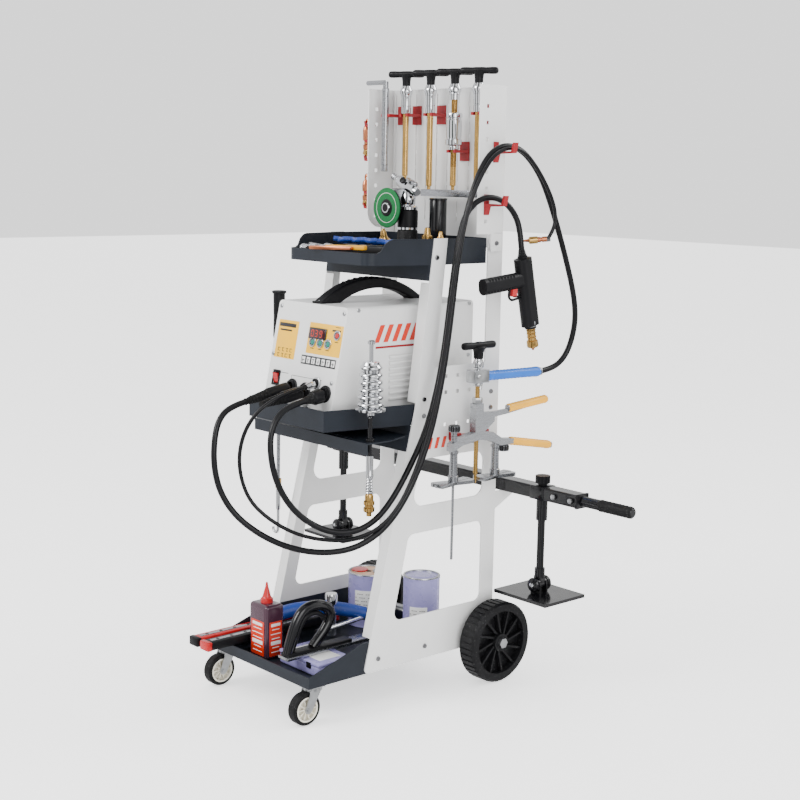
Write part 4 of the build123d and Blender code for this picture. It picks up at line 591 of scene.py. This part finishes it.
# ---- gun: grip ribs, gland, collar and trigger guard, then the nozzle ----
gun = Piece("gun_trim")
for i in range(9):
    gun.block(BLACK, (252, 22 + 10 * i, 991.5 - 0.98 * (14 - i)), (26.6, 4.2, 34), (-5.7, 0, 0), 2.0)
gun.turned(BLACK, GUN_GRIP + 48 * gun_axis, [(-4, 19), (2, 18), (4, 12), (8, 12), (9, 10), (12, 10.4),
                                             (14, 9), (17, 9.4), (19, 8.2), (22, 8.4), (24, 7.1)], gun_axis)
gun.turned(STEEL, GUN_GRIP - 113.5 * gun_axis, [(-2.5, 15), (3, 16.4), (9, 16.6), (12, 15.8)], gun_axis, 36,
           0.03)
gun.block(BLACK, (252, 128, 950), (9, 26, 4), (0, 0, 0), 1.6)
gun.bent(BLACK, [(252, 100, 968), (252, 99, 950), (252, 108, 942), (252, 124, 944), (252, 140, 946)], 3)
gun.done(slot="gun_black")
tip = Piece("gun_tip")
down = -gun_axis
tip.turned(BLACK, GUN_GRIP + GUN_MOUTH * down, [(-22, 8), (0, 8), (0, 13.6), (7, 14), (8, 9)], down)
tip.turned(BRASS, GUN_GRIP + GUN_MOUTH * down, [(7, 8), (8, 10.5), (38, 10.5), (39, 8)], down, 30, 0.09)
tip.turned(BRASS, GUN_GRIP + GUN_MOUTH * down, [(36, 9), (38, 13.6), (40, 14), (52, 14), (54, 13), (54, 8)],
           down, 26, 0.06)
for i in range(3):
    tip.turned(BRASS, GUN_GRIP + (124 + 8.5 * i) * down, [(0, 10), (1, 11.6), (2.4, 11.6), (3.4, 10)], down)
tip.turned(COPPER, GUN_GRIP + GUN_MOUTH * down, [(50, 6), (57, 6), (59, 3), (62, 2.4)], down)
tip.done("gun_nozzle", slot="brass")

# ---- two-legged puller: screw and T handle, knobs, legs, lever grips; ground clamp's grip ----
screw = Piece("puller_screw_set", "puller_screw")
thread = [(h, 5.9 if k % 2 else 5.2) for k, h in enumerate(range(532, 742, 3))]
screw.turned(BRASS, (*SCREW, 0), [(508, 1.5), (512, 2.5), (516, 3), (532, 4)] + thread + [(742, 5.2)],
             around=24)
screw.turned(ZINC, (*SCREW, 0), [(700.4, 5), (700.4, 12), (702, 13), (712, 13), (714, 12), (714, 5)],
             around=6)
screw.turned(CHROME, (*SCREW, 0), [(742, 5), (742, 11), (743.5, 12), (748.5, 12), (750, 11), (750, 5),
                                   (786, 5), (786, 12), (788, 13), (798, 13), (800, 12), (806, 9),
                                   (824, 6.5), (829, 6.5)])
screw.turned(BLACK, (*SCREW, 806), [(0, 9), (1, 11.5), (14, 12), (22, 14), (28, 20), (30, 16)])
screw.turned(BLACK, (PULLER_X, -29, 838), [(0, 5), (2, 8), (8, 9), (24, 8.6), (40, 8), (46, 9), (58, 9),
                                           (64, 8), (80, 8.6), (96, 9), (102, 8), (104, 5)], axis=(0, 1, 0))
screw.done("puller_screw", slot="brass")

grips = Piece("puller_trim")
grips.turned(BLACK, (PULLER_X, -50, 640), [(-1, 9), (0, 13), (3, 14), (12, 14), (15, 12.6), (16, 8)],
             around=28, flutes=0.08)
grips.turned(BLACK, (PULLER_X, 116, 576), [(-1, 9), (0, 13), (3, 14), (12, 14), (15, 12.6), (16, 8)],
             around=28, flutes=0.08)
for y in PULLER_LEGS:
    grips.turned(STEEL, (PULLER_X, y, 0), [(520, 9), (521, 12), (534, 12.4), (536, 10), (586, 9), (588, 11),
                                           (594, 11)])
    grips.block(STEEL, (PULLER_X, y, 518), (24.6, 119, 9.2), (0, 0, 12), 2.5)
grips.turned(STEEL, (PULLER_X, -50, 0), [(332, 1.5), (334, 3.2), (510, 3.2)], around=20)
grip_way = Vector((0, 1, -0.18)).normalized()
sleeve = [(0, 8.6), (2, 10), (8, 10.4)] + [(14 + 5 * i,
                                            9.6 + 0.8 * (i % 2)) for i in range(24)] + [(136, 10.4),
                                                                                        (142, 9.6),
                                                                                        (146, 7)]
grips.turned(YELLOW, (PULLER_X, 137, 598), sleeve, grip_way, 28)
grips.done(slot="yellow_grip")
upper = Piece("puller_lever_grip", "puller_lever")
grip_way = Vector((0, 1, 0.08)).normalized()
upper.turned(YELLOW, (PULLER_X, 127, 679), sleeve[:-3] + [(128, 10.4), (133, 9.4), (135, 7)], grip_way, 28)
upper.done(slot="yellow_grip")
clamp = Piece("clamp_grip")
grip_way = Vector((0, 1, -0.02)).normalized()
clamp.turned(BLUE, (PULLER_X, 50, 763.6), [(0, 9), (2, 12), (9, 12.6), (13, 11.4)]
             + [(20 + 6 * i, 11.2 + 0.9 * (i % 2)) for i in range(22)]
             + [(158, 12), (172, 12.6), (178, 12), (182, 9.6)], grip_way, 32)
clamp.turned(BLACK, (PULLER_X, 230, 760.2), [(0, 10), (1, 10.4), (6, 9.6), (6, 7)], grip_way)
clamp.block(ZINC, (*SCREW, 765.3), (31, 47, 28), bevel=2.5)
clamp.turned(ZINC, (247, 10, 766), [(0, 5.5), (3, 5.5), (5, 3)], (1, 0, 0), 6)
clamp.done(slot="blue_grip")

# ---- lever bar: bolt heads, collars, end sleeve ----
lever = Piece("lever_trim")
for x in (369, 423):
    for sign in (-1, 1):
        lever.turned(ZINC, (x, LEVER_Y + sign * 23, LEVER_Z), [(0, 7), (4, 6.6), (5, 4)], (0, sign, 0), 6)
lever.block(GLOSS_BLACK, (438, LEVER_Y, LEVER_Z), (8, 42.6, 34.6), bevel=2)
lever.turned(RUBBER, (496, LEVER_Y, LEVER_Z), [(0, 13.2), (2, 14.4), (6, 14.4)]
             + [(10 + 5 * i, 13.7 + 0.7 * (i % 2)) for i in range(15)] + [(86, 14.4), (92, 13.6), (95, 11)],
             (1, 0, 0), 30)
for x in (-440, 313):
    lever.block(GLOSS_BLACK, (x, LEVER_Y, LEVER_Z), (46, 41.6, 33.6), bevel=1.2)
lever.done(slot="wheel_black")

# ---- copper clamps hung on the left wing ----
copper = Piece("copper_clamps")
for z, long in ((1352, 62), (1214, 52)):
    copper.turned(COPPER, (-236, 66, z - long), [(0, 5), (1, 8), (12, 9), (14, 6), (22, 6), (24, 9),
                                                 (long - 14, 9.6), (long - 6, 8), (long, 5)])
    copper.bent(COPPER, [(-236, 66, z - 2), (-238, 66, z + 8), (-234, 66, z + 14), (-229, 66, z + 8)], 2.6)
    copper.block(BRASS, (-236, 66, z - long - 6), (16, 10, 16), (0, 20, 0), 2)
copper.done(slot="brass")

# ---- top tray: sander and its disc, nozzles, spare tips, handled tools and a bar ----
sander = Piece("sander")
sander.turned(RUBBER, (0, 0, TOP_FLOOR), [(0, 23), (2, 25), (66, 25), (69, 23), (70, 20)], around=36,
              flutes=0.04)
sander.turned(CHROME, (0, 0, 1098), [(0, 21), (1, 25), (6, 25), (7, 22)])
sander.turned(BLACK, (0, 0, 1104), [(0, 22), (1, 25), (40, 25), (42, 22)], around=36, flutes=0.03)
sander.turned(CHROME, (0, 0, 1145), [(0, 20), (2, 24), (8, 24), (11, 18), (14, 16), (22, 18), (30, 18),
                                     (34, 16), (46, 15)])
head_way = Vector((0.92, -0.30, -0.25)).normalized()
head_at = Vector((-96, 36, 1226))
sander.turned(CHROME, head_at, [(0, 5), (1, 7), (6, 8), (8, 6.6), (11, 6.6), (13, 8), (16, 8), (18, 6.6),
                                (21, 6.6), (23, 8.4), (38, 9), (44, 13), (50, 15), (92, 15.4), (100, 17),
                                (116, 17), (124, 14), (134, 14.6), (146, 12), (152, 8)], head_way)
sander.block(STEEL, (10, 2, 1212), (52, 13, 12), (0, 14, -18), 4)
sander.turned(BLACK, Vector((-8, -8, 1214)), [(0, 7), (2, 8), (7, 8), (8, 6)], (0.2, -0.8, 0.5))
disc_way, disc_at = Vector((0, -1, 0)), Vector((-33, -36, 1150))
sander.turned(RUBBER, disc_at - 24 * disc_way, [(0, 11), (3, 14), (14, 14), (18, 30), (21, 46), (23.4, 47)],
              disc_way, 56)
sander.block(STEEL, disc_at + Vector((12, 22, 24)), (40, 18, 46), (0, 0, 40), 5)
sander.done("sander_body", slot="chrome")
disc = Piece("sander_disc", "sanding_disc")
disc.turned(GRIT, disc_at, [(0, 12), (0.6, 46), (2.4, 48), (4.4, 47.4), (5, 44), (4.6, 23), (4.2, 20)],
            disc_way, 64)
disc.turned(PAPER, disc_at, [(3.4, 36), (4.95, 36), (4.95, 35), (3.4, 35)], disc_way, 64)
disc.turned(BLACK, disc_at, [(3, 21), (4.6, 20.6), (5.4, 19), (5, 12), (7, 10), (9, 9.6), (9, 4)], disc_way,
            48)
disc.turned(CHROME, disc_at, [(5, 9), (6.6, 13), (8.6, 12), (9, 8), (7, 6), (7, 2)], disc_way, 40)
disc.done("sanding_disc", slot="disc_green")

small = Piece("tray_smalls")
small.turned(BRASS, (114, -40, TOP_FLOOR), [(0, 14), (20, 14), (22, 10), (50, 10), (52, 13), (60, 13),
                                            (64, 8), (78, 6), (80, 3)], around=32, flutes=0.04)
small.turned(BRASS, (160, -40, TOP_FLOOR), [(0, 12), (26, 12), (28, 9), (56, 9), (60, 6), (72, 4)],
             around=32, flutes=0.04)
small.turned(GLOSS_BLACK, (64, 40, TOP_FLOOR), [(0, 19), (3, 21), (140, 21), (144, 19), (146, 12)], around=36)
small.turned(GLOSS_BLACK, (64, 40, 1170), [(0, 20), (1, 22), (5, 22), (6, 19)], around=36)
small.block(BLACK, (-70, -196, 1036), (120, 76, 13), bevel=3)
for i in range(6):
    y = -214 + 13 * (i % 3)
    small.turned(CHROME, (-128 + 11 * i, y, 1052 + 3 * (i % 2)),
                 [(-30, 8), (-28, 11), (-6, 11.4), (-4, 9), (24, 9), (27, 7)], (0.9, -0.34, 0.06), 30)
    small.turned(GLOSS_BLACK, (-128 + 11 * i, y, 1052 + 3 * (i % 2)), [(27, 6.5), (27.6, 6.2)],
                 (0.9, -0.34, 0.06), 24)
wave = [(-52 + 12 * i, -176 + 7 * math.sin(1.9 * i) + 3 * i,
         1074 + 1.5 * math.cos(1.9 * i)) for i in range(15)]
small.bent(TOOL_BLUE, wave, 7, 12, 4)
small.bent(TOOL_BLUE, [(x, y - 12, z + 3) for x, y, z in wave[:11]], 6, 12, 4)
small.block(BLACK, (40, -150, 1047), (180, 40, 36), (0, 0, 12), 4)
small.block(YELLOW, (40, -226, 1062), (104, 15, 11), (0, -1, 22), 2.5)
small.block(COPPER, (10, -246, 1060), (118, 13, 9), (0, -1, 16), 2.5)
small.turned(BRASS, (-78, -6, 1062), [(0, 5), (2, 16), (6, 18), (12, 12), (20, 8), (34, 6), (38, 3)],
             (0.2, -0.3, 1), 32)
small.block(STEEL, (70, 80, 1187), (222, 5, 17), (0, 0, 0), 1.4)
small.done(slot="tool_mixed")

# ---- base tray: pulling rails, bottle, flat case, body file, blue tool and cans ----
rails = Piece("pulling_rails")
for x, finish in ((-163, RED), (-118, BLACK)):
    rails.block(finish, (x, -315, 124), (34, 396, 20), bevel=3)
    rails.block(BLACK if finish is RED else RED, (x, -508, 124), (35, 14, 22), bevel=3)
    rails.block(BLACK if finish is RED else RED, (x, -122, 124), (35, 14, 22), bevel=3)
    rails.block(STEEL, (x, -315, 134.2), (12, 360, 1.6), bevel=0.5)
    for i in range(9):
        rails.turned(BLACK, (x, -475 + 40 * i, 134.6), [(0, 4.6), (0.7, 4.4)], around=20)
rails.done(slot="tool_mixed")

bottle = Piece("bottle")
bottle.block(DARK_BOTTLE, (-55, -378, 156), (71, 53, 131), bevel=9, steps=4)
bottle.block(ORANGE, (-55, -404.6, 140), (50, 0.8, 84), bevel=0.3)
bottle.block(ORANGE, (-19.4, -378, 140), (0.8, 36, 84), bevel=0.3)
for i, (wide, tall) in enumerate(((38, 7), (30, 2), (42, 2), (34, 2), (40, 9), (28, 2), (36, 2))):
    bottle.block(PAPER, (-55, -405.2, 174 - 11 * i), (wide, 0.6, tall), bevel=0.2)
    bottle.block(PAPER, (-18.9, -378, 174 - 11 * i), (0.6, wide * 0.7, tall), bevel=0.2)
bottle.turned(RED, (-55, -378, 219), [(0, 12), (1, 15), (12, 15), (14, 12), (18, 10), (40, 4), (50, 2.6),
                                      (52, 1.2)], around=32, flutes=0.03)
bottle.done(slot="tool_mixed")

case_box = Piece("lavender_case")
case_box.block(LAVENDER, (78, -335, 103), (148, 98, 25), bevel=5, steps=3)
case_box.block(LAVENDER, (78, -335, 119), (150, 100, 9), bevel=3, steps=3)
case_box.block(PAPER, (78, -335, 123.8), (110, 62, 0.8), bevel=0.3)
for x in (40, 116):
    case_box.block(BLACK, (x, -385, 114), (16, 3, 14), bevel=1)
case_box.done(slot="tool_mixed")

file_tool = Piece("body_file")
file_tool.block(STEEL, (78, -304, 129), (38, 252, 8), bevel=1.5)
file_tool.block(BLACK, (78, -330, 136), (32, 190, 8), bevel=3)
file_tool.bent(GLOSS_BLACK, [(79, -418, 136), (79, -408, 168), (78, -390, 210), (78, -366, 234),
                             (78, -330, 237), (78, -300, 224), (78, -292, 202), (78, -308, 174),
                             (78, -332, 150), (78, -344, 138)], 12.5, 18)
file_tool.bent(BLACK, [(79, -404, 142), (79, -394, 166), (78, -378, 198), (78, -362, 216), (78, -334, 219),
                       (78, -316, 208), (78, -312, 198)], 6, 12)
file_tool.turned(CHROME, (6, -256, 140), [(0, 6), (2, 10), (22, 10), (24, 6), (150, 6), (152, 8), (164, 8)],
                 (-0.17, 1, 0), 28)
file_tool.turned(BLACK, (6, -256, 140), [(-22, 5), (-20, 9), (-6, 11), (2, 9)], (-0.17, 1, 0), 28)
file_tool.turned(CHROME, (-50, -185, 100), [(0, 11), (2, 13), (60, 13), (62, 10), (80, 10), (82, 15),
                                            (104, 16), (108, 14)], around=32)
file_tool.done(slot="tool_mixed")

blue_tool = Piece("blue_gun")
blue_tool.bent(TOOL_BLUE, [(-118, -302, 158), (-106, -256, 166), (-84, -196, 166), (-54, -142, 158),
                           (-22, -98, 146)], 17, 20)
blue_tool.bent(TOOL_BLUE, [(-110, -270, 164), (-128, -226, 160), (-134, -196, 146)], 13, 18)
blue_tool.turned(BLACK, (-22, -98, 146), [(-4, 13), (0, 15), (10, 15), (14, 9), (24, 8)],
                 (0.60, 0.78, -0.2), 30, 0.05)
blue_tool.turned(BLACK, (128, -90, BASE_FLOOR), [(0, 12), (36, 12), (38, 8), (52, 8), (54, 17), (62, 20),
                                                 (70, 17), (74, 9)], around=30)
blue_tool.done(slot="tool_mixed")

cans = Piece("cans")
for x, y, r, height in ((-98, -24, 52, 136), (70, 6, 46, 158)):
    cans.turned(LAVENDER, (x, y, BASE_FLOOR), [(0, r - 3), (1, r), (4, r), (5, r - 1), (height - 5, r - 1),
                                               (height - 4, r), (height - 1, r), (height, r - 2)],
                around=56)
cans.turned(STEEL, (70, 6, BASE_FLOOR), [(155, 45), (158, 46.4), (160, 45.6), (160, 41), (156, 40)],
            around=56)
cans.turned(LAVENDER, (70, 6, BASE_FLOOR), [(154, 40), (157.6, 39.6), (157.6, 26), (159, 24), (159, 6)],
            around=56)
cans.turned(STEEL, (-98, -24, BASE_FLOOR), [(133, 51), (136, 52.4), (138, 51.6), (138, 47), (135, 46)],
            around=56)
cans.turned(TAN, (-98, -24, BASE_FLOOR), [(133, 46), (136, 45.6), (136.6, 30), (136, 8)], around=56)
cans.turned(RED, (-118, -36, 226), [(0, 20), (2, 21), (4, 20), (4.6, 12), (4.6, 4)], around=40)
cans.turned(STEEL, (-72, -10, 226), [(0, 16), (3, 17), (6, 16), (7, 10)], around=30, flutes=0.05)
for x, y, r, z in ((-98, -24, 52, 160), (70, 6, 46, 150)):
    facing = Vector((0.62, -0.78, 0))
    side = Vector((0.78, 0.62, 0))
    for k in range(-4, 5):
        a = k * 0.11
        normal = facing * math.cos(a) + side * math.sin(a)
        turn = math.degrees(math.atan2(normal.y, normal.x)) + 90
        cans.block(PAPER, Vector((x, y, z)) + normal * (r - 0.6), (r * 0.115, 1.2, 54), (0, 0, turn), 0.2)
        for row in range(5):
            if (k * 3 + row * 5) % 4:
                cans.block(INK, Vector((x, y, z + 18 - 9 * row)) + normal * (r + 0.1), (r * 0.08, 0.5, 1.6),
                           (0, 0, turn), 0.1)
cans.done("tray_tools", slot="tool_mixed")

# ---- feet of the lever legs: round ears with nuts ----
for side_name, x in (("left", -440), ("right", 313)):
    ears = Piece(f"foot_ears_{side_name}", f"lever_foot_{side_name}")
    for sign in (-1, 1):
        ears.turned(GLOSS_BLACK, (x, LEVER_Y + sign * 14, FOOT_Z),
                    [(0, 12), (1, 17), (8, 18), (11, 16), (13, 10)], (0, sign, 0), 40)
        ears.turned(CHROME, (x, LEVER_Y + sign * 27, FOOT_Z), [(-1, 7), (3, 6.6), (4, 4)], (0, sign, 0), 6)
    ears.done(slot="wheel_black")

# ---- trolley trim: side films and axle nuts ----
trim = Piece("side_films")
for i in range(4):
    trim.cut(ORANGE, (FRAME_SIDE, -96 + 22 * i, 596), *ON_SIDE, [(0, 0), (10, 0), (18, 26), (8, 26)], 0.4)
trim.cut(INK, (FRAME_SIDE, 6, 596), *ON_SIDE, [(0, 0), (62, 0), (67, 14), (5, 14)], 0.4)
trim.cut(ORANGE, (FRAME_SIDE, 12, 614), *ON_SIDE, [(0, 0), (58, 0), (61, 8), (3, 8)], 0.4)
for sign in (-1, 1):
    trim.turned(ZINC, (sign * 254, *AXLE), [(-2, 12), (3, 12), (4, 9), (6, 9)], (sign, 0, 0), 6)
trim.done(slot="frame_white")


# ---- floor, light and camera ----
FLOOR_GLOW, SKY_STRENGTH = 1.1, 1.55
STUDIO_BANDS = (     # place across the sky and brightness: screens and dark flags that the metal mirrors
    (0.18, 0.8), (0.24, 0.06), (0.36, 0.08), (0.42, 0.95), (0.56, 1.0), (0.62, 0.08), (0.74, 0.06),
    (0.80, 0.9), (0.90, 0.8), (0.94, 0.12),
)
bpy.ops.mesh.primitive_plane_add(size=40, location=(0, 0, -0.0005))
floor = bpy.context.object
floor.name = "floor"
paint = finish_of("floor_paint", (0.93, 0.93, 0.93), 0.6, vary=0.01, patch=2, bump=0.02)
coat = paint.node_tree.nodes["Principled BSDF"]
coat.inputs["Emission Color"].default_value = (1, 1, 1, 1)
coat.inputs["Emission Strength"].default_value = FLOOR_GLOW
floor.data.materials.append(paint)
floor.visible_glossy = False
sky = bpy.data.worlds.new("studio")
bpy.context.scene.world = sky
sky.use_nodes = True
nodes, links = sky.node_tree.nodes, sky.node_tree.links
background = nodes["Background"]
background.inputs["Strength"].default_value = SKY_STRENGTH
where = nodes.new("ShaderNodeTexCoord")
split = nodes.new("ShaderNodeSeparateXYZ")
links.new(where.outputs["Generated"], split.inputs["Vector"])
across = nodes.new("ShaderNodeMapRange")
across.inputs["From Min"].default_value = -1.0
links.new(split.outputs["X"], across.inputs["Value"])
bands = nodes.new("ShaderNodeValToRGB")
first, last = bands.color_ramp.elements
first.position, first.color = 0.0, (0.7, 0.7, 0.72, 1)
last.position, last.color = 1.0, (0.5, 0.5, 0.52, 1)
for place, level in STUDIO_BANDS:
    stop = bands.color_ramp.elements.new(place)
    stop.color = (level, level, level, 1)
links.new(across.outputs["Result"], bands.inputs["Fac"])
path = nodes.new("ShaderNodeLightPath")
seen = nodes.new("ShaderNodeMix")
seen.data_type = "RGBA"
links.new(path.outputs["Is Glossy Ray"], seen.inputs[0])
seen.inputs[6].default_value = (1, 1, 1, 1)
links.new(bands.outputs["Color"], seen.inputs[7])
links.new(seen.outputs[2], background.inputs["Color"])


def lamp(name, place, target, size, power):
    """A soft area light at place, in metres, aimed at target."""
    light = bpy.data.lights.new(name, "AREA")
    light.shape, light.size, light.energy = "DISK", size, power
    made = bpy.data.objects.new(name, light)
    made.location = place
    made.rotation_euler = (Vector(target) - Vector(place)).to_track_quat("-Z", "Y").to_euler()
    bpy.context.scene.collection.objects.link(made)


lamp("key", (-1.2, -3.6, 3.4), (0, 0, 0.7), 2.2, 150)
lamp("fill", (3.8, -1.2, 2.2), (0, 0, 0.7), 2.6, 70)
lamp("rim", (1.5, 3.0, 3.2), (0, 0, 0.8), 1.8, 60)

CAMERA_AT = (2.5818, -2.2390, 1.2401)    # metres
azimuth, pitch, roll = math.radians(48.17), math.radians(9.05), math.radians(1.05)
back = Vector((math.sin(azimuth) * math.cos(pitch), -math.cos(azimuth) * math.cos(pitch), math.sin(pitch)))
right = Vector((math.cos(azimuth), math.sin(azimuth), 0))
up = back.cross(right)
axes = (right * math.cos(roll) + up * math.sin(roll), up * math.cos(roll) - right * math.sin(roll), back)
lens = bpy.data.cameras.new("camera")
lens.sensor_width = 36
lens.lens = 64.9
camera = bpy.data.objects.new("camera", lens)
camera.matrix_world = Matrix.Translation(CAMERA_AT) @ Matrix(axes).transposed().to_4x4()
bpy.context.scene.collection.objects.link(camera)
bpy.context.scene.camera = camera
